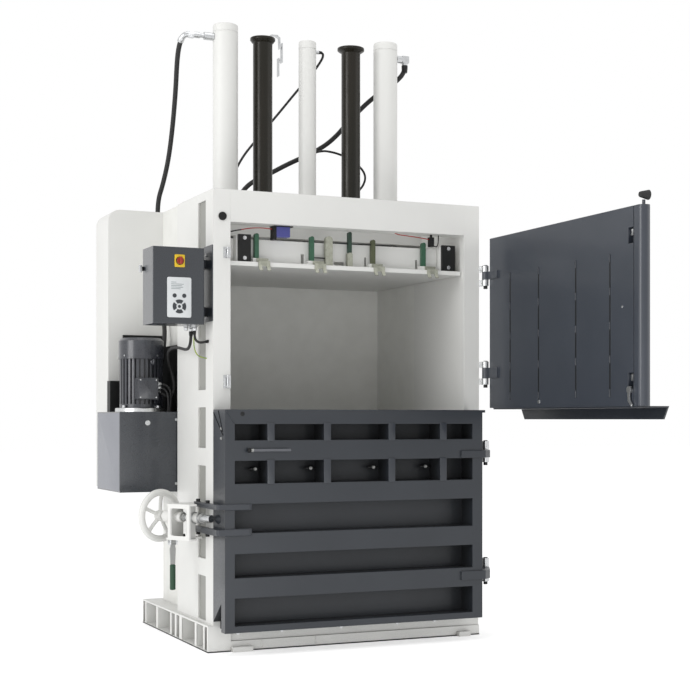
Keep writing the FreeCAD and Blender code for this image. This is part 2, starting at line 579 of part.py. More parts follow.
def platen_fittings():
    blocks = [box(f"block_{number}", (left, right), ("block_front", "block_back"),
                  ("block_low", "platen_top")) for number, (left, right) in
              enumerate(BLOCK_X, start=1)]
    heads = bolts("guide_block_bolts", [(f"({left} + {right}) / 2", "block_front", level)
                                        for left, right in BLOCK_X
                                        for level in ("block_low + 16", "platen_top - 16")],
                  -Y_AXIS, 12, 5)
    keep(group("guide_blocks", blocks), "guide_blocks")
    posts = [box(f"post_{number}", (f"{x} - post_width / 2", f"{x} + post_width / 2"),
                 ("post_front", "post_back"), ("post_low", "post_high"))
             for number, x in enumerate(POST_X, start=1)]
    posts.append(box("post_middle", (f"{MIDDLE_POST_X} - post_width / 2 + 1",
                                     f"{MIDDLE_POST_X} + post_width / 2 - 1"),
                     ("post_front", "post_back"), ("platen_skin + 68", "lintel_low - 7")))
    doc.recompute()
    keep(group("strap_guides", [round_top(f"strap_post_{number}", post, "post_width / 2 - 2")
                                for number, post in enumerate(posts, start=1)]), "strap_guides")
    clips = []
    for number, x in enumerate(CLIP_X, start=1):
        wide = (f"{x} - clip_width / 2", f"{x} + clip_width / 2")
        lip = prism(f"clip_{number}_lip", "yz", CLIP_LINE, *wide)
        gap = box(f"clip_{number}_gap", (f"{x} - clip_width / 5", f"{x} + clip_width / 5"),
                  ("platen_front - 40", "platen_front - 1"),
                  ("platen_low - clip_drop - 10", "platen_low - 2"))
        clips.append(less(f"clip_{number}", lip, [gap]))
    doc.recompute()
    stand = box("grey_stand", (GREY_POST_X - 18, GREY_POST_X + 18), ("post_front", "post_back"),
                ("platen_skin", "post_high + 5"))
    foot = box("middle_foot", (MIDDLE_POST_X - 13, MIDDLE_POST_X + 13),
               ("post_front", "post_back"), ("platen_skin", "platen_skin + 68"))
    line = ("post_front + post_deep / 2", "post_high - 25")
    rods = [rod("upper_tie", "x", line, 3, GREY_POST_X + 18, 236),
            rod("lower_tie", "x", (line[0], "post_low + 16"), 3,
                f"{POST_X[1]} + post_width / 2", GREY_POST_X - 18)]
    reliefs = [box(f"tie_relief_{number}", (f"{x} - post_width / 2 - hole_gap",
                                            f"{x} + post_width / 2 + hole_gap"),
                   ("post_front", "post_back"), ("platen_skin", "lintel_low"))
               for number, x in enumerate((MIDDLE_POST_X, POST_X[2]), start=1)]
    tie = less("upper_tie_bar", rods[0], reliefs)
    doc.recompute()
    keep(group("strap_clips", clips + [round_top("grey_post", stand, "14"), foot, tie, rods[1],
                                       heads]), "strap_clips")


CATCH_X = "-side_x + 64"


# Sensor box and its holder under the lintel, plug in the lintel's face, door catches.
def lintel_fittings():
    keep(box("lintel_sensor", (-358, -292), (-522, -474), ("lintel_low - 51", "lintel_low - 5")),
         "lintel_sensor")
    holder = box("sensor_holder", (-372, -278), (-526, -466), ("lintel_low - 5", "lintel_low"))
    cheek = box("sensor_cheek", (-372, -358), (-522, -474), ("lintel_low - 64",
                                                             "lintel_low - 5"))
    socket = box("wire_socket", (427, 450), (-520, -496), ("lintel_low - 58", "lintel_low - 12"))
    stem = box("socket_stem", (434, 443), (-512, -504), ("lintel_low - 12", "lintel_low"))
    plug = rod("plug_disc", "y", (-630, "lintel_low + 23"), 19, "front_y - 7", "front_y")
    domed = rounded("plug_dome", plug, "3", lambda edge: edge.CenterOfMass.y
                    < size("front_y") - 6 and edge.Curve.TypeId == "Part::GeomCircle")
    keep(group("lintel_plug", [joined("sensor_bracket", [holder, cheek]),
                               joined("socket", [socket, stem]), domed]), "lintel_plug")
    catches = []
    for number, (low, high) in enumerate(CATCH_LEVELS, start=1):
        ends = (f"udoor_low + {low}", f"udoor_low + {high}")
        plate = box(f"catch_{number}_plate", (f"{CATCH_X} - 17", f"{CATCH_X} + 17"),
                    ("front_y - 6", "front_y"), ends)
        lugs = [box(f"catch_{number}_lug_{place}", (f"{CATCH_X} - 9.5", f"{CATCH_X} + 9.5"),
                    ("front_y - 25", "front_y - 6"),
                    (f"udoor_low + {start}", f"udoor_low + {start + 7}"))
                for place, start in (("low", low + 4), ("high", high - 11))]
        pin = rod(f"catch_{number}_pin", "z", (CATCH_X, "front_y - 17"), 5, *ends)
        catches.append(joined(f"catch_{number}", [plate, pin] + lugs))
    keep(group("door_catches", catches), "door_catches")


# Lower door: one welded tray of rails, ribs and dividers on a back sheet.
ROWS = ((957, 1029), (765, 867), (546, 676), (349, 456), (137, 260))
DIVIDER_SETS = (212.5, 482.5, 802.5, 1067.5)
HOOK_SETS = (164, 430, 741, 1009)
TIE_Z = 913


def lower_door():
    blank = box("ldoor_blank", ("ldoor_left", "ldoor_right"), ("ldoor_front", "ldoor_back"),
                ("ldoor_low", "sill_top"))
    tools = []
    for row, (low, high) in enumerate(ROWS, start=1):
        edges = ["pocket_left"]
        if row <= 2:
            for across in DIVIDER_SETS:
                edges += [f"ldoor_left + {across} - divider / 2",
                          f"ldoor_left + {across} + divider / 2"]
        edges.append("pocket_right")
        for number, (left, right) in enumerate(zip(edges[::2], edges[1::2]), start=1):
            tools.append(box(f"pocket_{row}_{number}", (left, right),
                             ("ldoor_front - 1", "pocket_floor"), (low, high)))
    back = ("ldoor_back - ldoor_sheet", "ldoor_back")
    cavity = box("ldoor_cavity", ("pocket_left", "ldoor_right - ldoor_sheet"),
                 ("pocket_floor + ldoor_sheet", back[0]),
                 ("ldoor_low + ldoor_sheet", "sill_top - ldoor_sheet"))
    tools.append(cavity)
    tools.append(prism("ldoor_corner", "yz", (("ldoor_front + stile_depth", "ldoor_low - 1"),
                                              ("ldoor_front + stile_depth",
                                               "ldoor_low + corner_rise + corner_run"),
                                              ("ldoor_back + 1", "ldoor_low + corner_rise"),
                                              ("ldoor_back + 1", "ldoor_low - 1")),
                       "ldoor_left - 1", "ldoor_left + corner_deep"))
    bore = shaped("bolt_hole", lock_cylinder("bolt_r + 3", "bolt_end", "bolt_end + 110"))
    tools.append(bore)
    tray = less("ldoor_tray", blank, tools)
    lip = box("ldoor_lip", ("ldoor_right - 1", "lip_right"), ("ldoor_front", "ldoor_back"),
              ("lip_low", "sill_top"))
    strap = (("ldoor_right - 115.5", "ldoor_front"), ("ldoor_right - 115.5", "ldoor_front - 10"),
             ("ldoor_right + 10", "ldoor_front - 14"), ("hinge_x - 42.5", "hinge_y - 127"),
             ("hinge_x + 16.5", "hinge_y - 7"), ("hinge_x - 15.5", "hinge_y + 7"),
             ("ldoor_right", "hinge_y - 55"), ("ldoor_right", "ldoor_front"))
    leaves = [barrel(f"lower_leaf_{number}", f"{low} + leaf_gap", f"{high} - leaf_gap", strap,
                     "pin_r + fit_gap") for number, (_, low, high, _) in
              enumerate(LOWER_HINGES, start=1)]
    keep(joined("lower_door", [tray, lip] + leaves), "lower_door")


ARM_LEVELS = (("lock_z + 47", "lock_z + 70"), ("lock_z - 67", "lock_z - 40"))


def lower_door_fittings():
    wings = []
    for number, across in enumerate(HOOK_SETS, start=1):
        x = f"ldoor_left + {across}"
        wings.append(joined(f"hook_{number}", [
            rod(f"hook_stem_{number}", "y", (x, 828), 7, "pocket_floor - 42", "pocket_floor"),
            box(f"hook_wing_{number}", (f"{x} - 26", f"{x} + 26"),
                ("pocket_floor - 42", "pocket_floor - 34"), (822, 834))]))
    bar = joined("tie_bar", [rod("tie_bar_rod", "x", ("ldoor_front - 18", TIE_Z), 6.5,
                                 "ldoor_left + 97.5", "ldoor_left + 299.5"),
                             rod("tie_bar_near", "y", ("ldoor_left + 111.5", TIE_Z), 6,
                                 "ldoor_front - 18", "ldoor_front"),
                             rod("tie_bar_far", "y", ("ldoor_left + 285.5", TIE_Z), 6,
                                 "ldoor_front - 18", "ldoor_front")])
    middle = "arm_left + arm_thick / 2"
    top, low = (bolts(f"arm_bolts_{place}", [(middle, "ldoor_back - 12", level),
                                             (middle, "arm_rear - 32", level)],
                      sense, 16, 12, 2)
                for place, level, sense in (("top", ARM_LEVELS[0][1], Z_AXIS),
                                            ("low", ARM_LEVELS[1][0], -Z_AXIS)))
    keep(group("lower_door_fittings", wings + [bar, top, low]), "lower_door_fittings")


def lock_arms():
    outline = (("-548.5", "ldoor_front"), ("-566", "arm_front"),
               ("arm_left + 10", "arm_front"), ("arm_left", "arm_front + 10"),
               ("arm_left", "arm_rear"), ("arm_right", "arm_rear"), ("arm_right", "-620"),
               ("ldoor_left", "-650"), ("ldoor_left", "ldoor_front"))
    keep(group("lock_arms", [prism(f"arm_{number}", "xy", outline, low, high)
                             for number, (low, high) in enumerate(ARM_LEVELS, start=1)]),
         "lock_arms")


# Hinges: pairs of silver barrels on the frame with a door leaf between, on one pin each.
LOWER_HINGES = ((262, 291, 333, 375), (842, 868, 903, 944))
UPPER_HINGES = ((1219, 1249, 1301, 1331), (1700, 1729, 1768, 1797))


def barrel(name, low, high, outline, bore):
    plate = prism(name + "_plate", "xy", outline, low, high)
    ring = rod(name + "_ring", "z", ("hinge_x", "hinge_y"), "barrel_r", low, high)
    hole = rod(name + "_hole", "z", ("hinge_x", "hinge_y"), bore, f"{low} - 1", f"{high} + 1")
    return less(name, joined(name + "_blank", [plate, ring]), [hole])


def hinges():
    bracket = (("side_x", "front_y + 1"), ("side_x", "front_y + 60"),
               ("side_x + 16.5", "front_y + 60"), ("hinge_x + 16.5", "hinge_y"),
               ("hinge_x - 12.5", "hinge_y + 5"))
    brackets, pins = [], []
    for number, (low, mid_low, mid_high, high) in enumerate(LOWER_HINGES + UPPER_HINGES, start=1):
        brackets.append(barrel(f"bracket_low_{number}", low, mid_low, bracket, "pin_r"))
        brackets.append(barrel(f"bracket_high_{number}", mid_high, high, bracket, "pin_r"))
        pins.append(rod(f"pin_{number}", "z", ("hinge_x", "hinge_y"), "pin_r", low - 15, high + 4))
    keep(group("hinge_brackets", brackets), "hinge_brackets")
    keep(group("hinge_pins", pins), "hinge_pins")


# Upper door, stored open at a right angle: hollow leaf with seams, skirt and buffer.
SEAM_SETS = (205, 473, 798, 1073)
CATCH_WINDOWS = ((68, 137), (669, 735))
CATCH_LEVELS = ((673, 722), (86, 145))


def upper_door():
    blank = box("udoor_blank", ("udoor_x", "udoor_x + udoor_thick"), ("udoor_far", "udoor_near"),
                ("udoor_low", "udoor_top"))
    free_edge = rounded("udoor_nose", blank, "bullnose", lambda edge: along(Z_AXIS)(edge)
                        and edge.CenterOfMass.y < size("udoor_far") + 1)
    tools = [box(f"seam_{number}", ("udoor_x - 1", "udoor_x + seam_deep"),
                 (f"udoor_near - {back} - seam_width / 2", f"udoor_near - {back} + seam_width / 2"),
                 ("seam_low", "seam_high")) for number, back in enumerate(SEAM_SETS, start=1)]
    tools.append(box("udoor_core", ("udoor_x + udoor_sheet", "udoor_x + udoor_thick - udoor_sheet"),
                     ("udoor_far + 110", "udoor_near - udoor_sheet"),
                     ("udoor_low + udoor_sheet", "udoor_top - udoor_sheet")))
    tools.append(box("nose_groove", ("udoor_x - 1", "udoor_x + seam_deep"),
                     ("udoor_far + 54", "udoor_far + 60"), ("udoor_low - 1", "udoor_top + 1")))
    tools += [box(f"catch_window_{number}", ("udoor_x - 1", "udoor_x + 36"),
                  ("udoor_far + 61", "udoor_far + 97"),
                  (f"udoor_low + {low}", f"udoor_low + {high}"))
              for number, (low, high) in enumerate(CATCH_WINDOWS, start=1)]
    leaf = less("upper_door_leaf", free_edge, tools)
    plate = (("hinge_x + 0.5", "hinge_y - 12"), ("hinge_x + 0.5", "udoor_near - 88"),
             ("udoor_x", "udoor_near - 88"), ("udoor_x", "hinge_y - 12"))
    knuckles = [barrel(f"upper_leaf_{number}", f"{low} + leaf_gap", f"{high} - leaf_gap", plate,
                       "pin_r + fit_gap") for number, (_, low, high, _) in
                enumerate(UPPER_HINGES, start=1)]
    stem = rod("buffer_stem", "z", ("udoor_x + 31.5", "udoor_far + 31"), 7, "udoor_top",
               "udoor_top + 22")
    keep(joined("upper_door", [leaf, stem] + knuckles), "upper_door")
    ends = ("udoor_far + 36", "udoor_near - 38")
    web = box("skirt_web", ("udoor_x", "skirt_x"), ends, ("web_low", "udoor_low"))
    skirt = prism("skirt_plate", "yz", ((ends[0], "udoor_low"), ("udoor_far + 69", "skirt_low"),
                                        ("udoor_near - 72", "skirt_low"), (ends[1], "udoor_low")),
                  "skirt_x", "skirt_x + skirt_sheet")
    keep(joined("door_skirt", [web, skirt]), "door_skirt")
    cone = doc.addObject("Part::Cone", "buffer_cone")
    cone.Radius1, cone.Radius2, cone.Height = 21, 11, 44
    cone.Placement = FreeCAD.Placement(FreeCAD.Vector(), FreeCAD.Rotation(Y_AXIS, -90))
    for axis, text in (("x", "udoor_x + 54.5"), ("y", "udoor_far + 31"), ("z", "udoor_top + 43")):
        cone.setExpression(f"Placement.Base.{axis}", bound(text))
    keep(rounded("door_buffer", cone, "6", lambda edge: edge.CenterOfMass.x
                 < size("udoor_x + 11.5")), "door_buffer")


def door_lever():
    pivot = ("udoor_far + 79", "udoor_low + 67")
    hub = rod("lever_hub", "x", pivot, 15, "udoor_x - 11.5", "udoor_x - 0.3")
    arm = prism("lever_arm", "yz", [(f"{pivot[0]} + {across}", f"{pivot[1]} - {drop}")
                                    for across, drop in ((-8, 0), (-8, 42), (-24, 60), (-16, 68),
                                                         (6, 46), (8, 0))],
                "udoor_x - 11.5", "udoor_x - 5.5")
    keep(joined("door_lever", [hub, arm]), "door_lever")


# Door lock: a handwheel on a screw drives the locking bolt along a slanting line
# towards the lower door's left edge. The plan of the bracket's two decks is set back
# where the door's arms swing past.
DECK_LINE = (("-side_x", "wheel_y - 65"), ("-side_x", "arm_rear + 6"),
             ("arm_left - 4", "arm_rear + 6"), ("arm_left - 24", "arm_rear - 127"),
             ("arm_left - 61", "arm_rear - 127"), ("wheel_x - 2.5", "arm_rear - 2"),
             ("wheel_x - 2.5", "wheel_y - 105"), ("wheel_x + 39.5", "wheel_y - 65"))


def lock_frame():
    """Placement whose Z axis runs from the handwheel to the door."""
    turn = math.radians(size("lock_turn"))
    heading = FreeCAD.Vector(math.sin(turn), -math.cos(turn), 0)
    centre = FreeCAD.Vector(size("wheel_x"), size("wheel_y"), size("lock_z"))
    return FreeCAD.Placement(centre, FreeCAD.Rotation(Z_AXIS.cross(heading), Z_AXIS, heading,
                                                      "ZXY"))


def lock_cylinder(radius, start, end):
    """Cylinder on the lock's line between two distances from the handwheel."""
    solid = Part.makeCylinder(size(radius), size(end) - size(start),
                              FreeCAD.Vector(0, 0, size(start)))
    solid.Placement = lock_frame()
    return solid


def lock():
    wheel = doc.addObject("Part::Torus", "wheel_rim")
    wheel.setExpression("Radius1", bound("wheel_rim_r"))
    wheel.setExpression("Radius2", bound("rim_r"))
    wheel.Placement = lock_frame()
    spokes = [shaped("wheel_hub", lock_cylinder("26", "-20", "20"))]
    for number in range(5):
        spoke = Part.makeCylinder(9, size("wheel_rim_r") - 18, FreeCAD.Vector(18, 0, 0), X_AXIS)
        spoke.rotate(FreeCAD.Vector(), Z_AXIS, 72 * number + 12)
        spoke.Placement = lock_frame().multiply(spoke.Placement)
        spokes.append(shaped(f"wheel_spoke_{number}", spoke))
    screw = shaped("screw_shaft", lock_cylinder("screw_r", "-24", "screw_end"))
    collar = shaped("screw_collar", lock_cylinder("screw_r + 6", "24", "boss_start - 6"))
    keep(joined("handwheel", [wheel, screw, collar] + spokes), "handwheel")
    bolt = shaped("bolt_outer", lock_cylinder("bolt_r", "bolt_start", "bolt_end"))
    bore = shaped("bolt_bore", lock_cylinder("screw_r + fit_gap", "bolt_start - 1",
                                             "bolt_end - 12"))
    keep(less("lock_bolt", bolt, [bore]), "lock_bolt")
    outer = shaped("guide_outer", lock_cylinder("bolt_r + guide_wall", "guide_start",
                                                "guide_end"))
    hole = shaped("guide_hole", lock_cylinder("bolt_r + fit_gap", "guide_start - 1",
                                              "guide_end + 1"))
    guide = less("bolt_guide", outer, [hole])
    decks = [prism(f"{name}_plate", "xy", DECK_LINE, name, f"{name} + deck_sheet")
             for name in ("deck_low", "deck_high")]
    tall = size("deck_up") + size("deck_down")
    webs = []
    for name, wide, start, radius in (
            ("rear", (-34, 34), size("web_start"), "screw_r + fit_gap"),
            ("front", (-34, 10), size("guide_start") + 20, "bolt_r + guide_wall + fit_gap")):
        web = Part.makeBox(wide[1] - wide[0], tall, 12,
                           FreeCAD.Vector(wide[0], -size("deck_down"), start))
        web.Placement = lock_frame()
        hole = lock_cylinder(radius, str(start - 5), str(start + 20))
        webs.append(less(f"web_{name}", shaped(f"web_{name}_plate", web),
                         [shaped(f"web_{name}_hole", hole)]))
    boss = less("screw_boss", shaped("boss_outer", lock_cylinder("boss_r", "boss_start",
                                                                 "web_start")),
                [shaped("boss_hole", lock_cylinder("screw_r + fit_gap", "boss_start - 1",
                                                   "web_start + 1"))])
    cheek = prism("cheek_plate", "xy", (("wheel_x - 2.5", "arm_rear - 2"),
                                        ("wheel_x + 5.5", "arm_rear - 2"),
                                        ("arm_left - 53", "arm_rear - 127"),
                                        ("arm_left - 61", "arm_rear - 127")),
                  "deck_low + deck_sheet", "deck_high")
    window = box("cheek_window", ("wheel_x - 20", "arm_left - 40"),
                 ("arm_rear - 114", "arm_rear - 16"),
                 ("deck_low + deck_sheet + 12", "deck_high - 12"))
    side = less("lock_cheek", cheek, [rounded("cheek_window_round", window, "14",
                                              along(X_AXIS))])
    keep(group("lock_bracket", decks + webs + [guide, boss, side]), "lock_bracket")


LEVER_X, LEVER_Y, LEVER_Z = "wheel_x + 35.5", "wheel_y - 85", "deck_low - 14"


def release_lever():
    lugs = []
    for number, (left, right) in enumerate(((-18, -11), (11, 18)), start=1):
        plate = box(f"lever_lug_{number}", (f"{LEVER_X} + {left}", f"{LEVER_X} + {right}"),
                    (f"{LEVER_Y} - 14", f"{LEVER_Y} + 14"), (f"{LEVER_Z} - 14", "deck_low"))
        hole = rod(f"lug_hole_{number}", "x", (LEVER_Y, LEVER_Z), 6, f"{LEVER_X} - 20",
                   f"{LEVER_X} + 20")
        lugs.append(less(f"lug_{number}", plate, [hole]))
    pin = rod("lever_pin", "x", (LEVER_Y, LEVER_Z), 6, f"{LEVER_X} - 22", f"{LEVER_X} + 22")
    keep(group("lever_pivot", lugs + [pin]), "lever_pivot")
    hub = rod("release_hub", "x", (LEVER_Y, LEVER_Z), 13, f"{LEVER_X} - 10.5",
              f"{LEVER_X} + 10.5")
    stem = prism("release_stem", "xz", [(f"{LEVER_X} + {out}", f"{LEVER_Z} - {drop}")
                                        for out, drop in ((-10, 8), (10, 8), (10, 22), (13, 32),
                                                          (10, 103), (-10, 103), (-13, 32),
                                                          (-10, 22))],
                 f"{LEVER_Y} - 6", f"{LEVER_Y} + 6")
    tang = rod("release_tang", "z", (LEVER_X, LEVER_Y), 6, f"{LEVER_Z} - 189", f"{LEVER_Z} - 99")
    solid = joined("release_solid", [hub, stem, tang])
    keep(less("release_lever", solid, [rod("release_hole", "x", (LEVER_Y, LEVER_Z), "6 + fit_gap",
                                           f"{LEVER_X} - 12", f"{LEVER_X} + 12")]),
         "release_lever")
    grip = rod("grip_outer", "z", (LEVER_X, LEVER_Y), 13, f"{LEVER_Z} - 221", f"{LEVER_Z} - 104")
    grip_round = rounded("grip_round", grip, "6", lambda edge:
                         edge.Curve.TypeId == "Part::GeomCircle")
    bore = rod("grip_hole", "z", (LEVER_X, LEVER_Y), 6, f"{LEVER_Z} - 189", f"{LEVER_Z} - 99")
    keep(less("lever_grip", grip_round, [bore]), "lever_grip")


# Control box with a hinged door that carries the keypad and the main switch.
KEYPAD_X = ("cbox_left + 64", "cbox_left + 174")
SWITCH = ("cbox_left + 121", "cbox_low + 280")
LATCH = ("cbox_back - 13", "cbox_low + 254")
BOX_LEVELS = ("cbox_low + 45", "cbox_low + 260")
GLANDS = (("cbox_right - 30.5", "front_y + 60", 8), ("cbox_right - 70.5", "front_y + 60", 6),
          ("cbox_right - 30.5", "front_y + 115", 6))


def control_box():
    outer = box("cbox_outer", ("cbox_left", "cbox_right"), ("cdoor_back", "cbox_back"),
                ("cbox_low", "cbox_high"))
    core = box("cbox_core", ("cbox_left + cbox_sheet", "cbox_right - cbox_sheet"),
               ("cdoor_back - 1", "cbox_back - cbox_sheet"),
               ("cbox_low + cbox_sheet", "cbox_high - cbox_sheet"))
    latch_seat = rod("latch_seat", "x", LATCH, 4.1, "cbox_left - 1",
                     "cbox_left + cbox_sheet + 1")
    keep(less("control_box", outer, [core, latch_seat]), "control_box")
    pan = box("cdoor_outer", ("cbox_left", "cbox_right - 4"), ("cbox_front", "cdoor_back - 0.5"),
              ("cbox_low", "cbox_high"))
    rim = rounded("cdoor_round", pan, "3", lambda edge: edge.CenterOfMass.y
                  < size("cbox_front") + 1)
    hollow = box("cdoor_core", ("cbox_left + cbox_sheet", "cbox_right - 4 - cbox_sheet"),
                 ("cbox_front + cbox_sheet", "cdoor_back"),
                 ("cbox_low + cbox_sheet", "cbox_high - cbox_sheet"))
    seat = rod("cdoor_seat", "y", SWITCH, "knob_stem_r + 0.1", "cbox_front - 1", "cdoor_back")
    keep(less("control_box_door", rim, [hollow, seat]), "control_box_door")
    knuckles = [rod(f"box_hinge_{number}", "z", ("cbox_right - 2", "cdoor_back - 2"), 1.9,
                    low, f"{low} + 40") for number, low in enumerate(BOX_LEVELS, start=1)]
    arms = [box(f"box_arm_{number}", ("cbox_right", "-side_x - plate_thick"),
                ("cbox_back - 70", "cbox_back - 10"), (low, f"{low} + 40"))
            for number, low in enumerate(BOX_LEVELS, start=1)]
    plate = box("box_bracket_plate", ("-side_x - plate_thick", "-side_x"),
                ("front_y", "front_y + plate_deep"), ("plate_low", "plate_low + plate_height"))
    rim = rounded("box_bracket_round", plate, "4", along(X_AXIS))
    keep(group("box_bracket", knuckles + arms + [rim]), "box_bracket")
    keypad = box("keypad_blank", KEYPAD_X, ("cbox_front - 4", "cbox_front"),
                 ("cbox_low + 28", "cbox_low + 207"))
    keep(rounded("keypad", keypad, "8", along(Y_AXIS)), "keypad")
    plate = box("switch_plate_blank", (f"{SWITCH[0]} - 27.5", f"{SWITCH[0]} + 27.5"),
                ("cbox_front - 5", "cbox_front"), (f"{SWITCH[1]} - 29", f"{SWITCH[1]} + 29"))
    keep(less("switch_plate", rounded("switch_plate_round", plate, "5", along(Y_AXIS)),
              [rod("switch_plate_hole", "y", SWITCH, "knob_stem_r + 0.1", "cbox_front - 6",
                   "cbox_front + 1")]), "switch_plate")
    knob = rod("knob_disc", "y", SWITCH, 21, "cbox_front - 15", "cbox_front - 5.3")
    bar = box("knob_bar", (f"{SWITCH[0]} - 6.5", f"{SWITCH[0]} + 6.5"),
              ("cbox_front - 34", "cbox_front - 15"), (f"{SWITCH[1]} - 22", f"{SWITCH[1]} + 22"))
    stem = rod("knob_stem", "y", SWITCH, "knob_stem_r", "cbox_front - 5.3", "cbox_front + 3")
    keep(joined("main_switch", [knob, rounded("knob_bar_round", bar, "5", along(Y_AXIS)), stem]),
         "main_switch")
    disc = rod("latch_disc", "x", LATCH, 10, "cbox_left - 8",
               "cbox_left - 0.3")
    wing = box("latch_wing", ("cbox_left - 22", "cbox_left - 8"),
               (f"{LATCH[0]} - 4", f"{LATCH[0]} + 4"), (f"{LATCH[1]} - 17", f"{LATCH[1]} + 17"))
    stem = rod("latch_stem", "x", LATCH, 4, "cbox_left - 0.3",
               "cbox_left + cbox_sheet")
    keep(joined("box_latch", [disc, wing, stem]), "box_latch")
    glands = []
    for number, (x, y, radius) in enumerate(GLANDS, start=1):
        nut = rod(f"gland_{number}_nut", "z", (x, y), f"{radius} + 5", "cbox_low - 10",
                  "cbox_low")
        body = rod(f"gland_{number}_body", "z", (x, y), f"{radius} + 3", "cbox_low - 26",
                   "cbox_low - 10")
        glands.append(joined(f"gland_{number}", [nut, body]))
    keep(group("cable_glands", glands), "cable_glands")


# Cabinet with the oil tank and pump, and the motor that stands on it.
CAB_LOCK = ("cab_left + 134.5", "cab_high - 53")


def cabinet():
    outer = box("cab_outer", ("cab_left", "cab_right"), ("cab_front", "cab_back"),
                ("cab_low", "cab_high"))
    core = box("cab_core", ("cab_left + cab_sheet", "cab_right - cab_sheet"),
               ("cab_front - 1", "cab_back - cab_sheet"),
               ("cab_low + cab_sheet", "cab_high - cab_sheet"))
    pass_hole = rod("cab_pass", "z", ("motor_x", "motor_y"), "60", "cab_high - 5", "cab_high + 1")
    shell = less("cab_shell", outer, [core, pass_hole])
    arms = [box(f"cab_arm_{number}", ("cab_right", "-wall_x"), (front, f"{front} + 40"),
                ("cab_low + 20", "cab_high - 20"))
            for number, front in enumerate(("cab_front + 45", "cab_back - 80"), start=1)]
    keep(group("tank_cabinet", [shell] + arms), "tank_cabinet")
    cover = box("cover_blank", ("cab_left", "cab_right"), ("cab_front - 4", "cab_front"),
                ("cab_low", "cab_high"))
    keep(less("cabinet_cover", cover, [rod("cover_lock_hole", "y", CAB_LOCK, 8.1,
                                           "cab_front - 6", "cab_front + 1")]), "cabinet_cover")
    lock_face = rod("cab_lock_face", "y", CAB_LOCK, 12, "cab_front - 10", "cab_front - 4.3")
    lock_stem = rod("cab_lock_stem", "y", CAB_LOCK, 8, "cab_front - 4.3", "cab_front + 12")
    lock_slot = box("cab_lock_slot", (f"{CAB_LOCK[0]} - 1.5", f"{CAB_LOCK[0]} + 1.5"),
                    ("cab_front - 12", "cab_front - 8"),
                    (f"{CAB_LOCK[1]} - 7", f"{CAB_LOCK[1]} + 7"))
    keep(less("cabinet_lock", joined("cab_lock_solid", [lock_face, lock_stem]), [lock_slot]),
         "cabinet_lock")
    tank = box("oil_tank", ("cab_left + 20", "cab_right - 20"),
               ("cab_front + 20", "cab_back - 20"), ("cab_low + cab_sheet", "cab_low + 200"))
    pump = rod("oil_pump", "z", ("motor_x", "motor_y"), 52, "cab_low + 200", "cab_high")
    keep(group("oil_unit", [tank, pump]), "oil_unit")
    block = box("filter_block", ("cab_left + 43.5", "cab_left + 101.5"),
                ("cab_back - 85", "cab_back - 25"), ("cab_high", "cab_high + 157"))
    panel = box("rear_panel", ("cab_left + 132.5", "-wall_x - 1.5"), ("wall_y - 12", "wall_y"),
                ("cab_high + 14", "cab_high + 393"))
    keep(group("oil_filter", [block, panel]), "oil_filter")


FIN_COUNT = 30


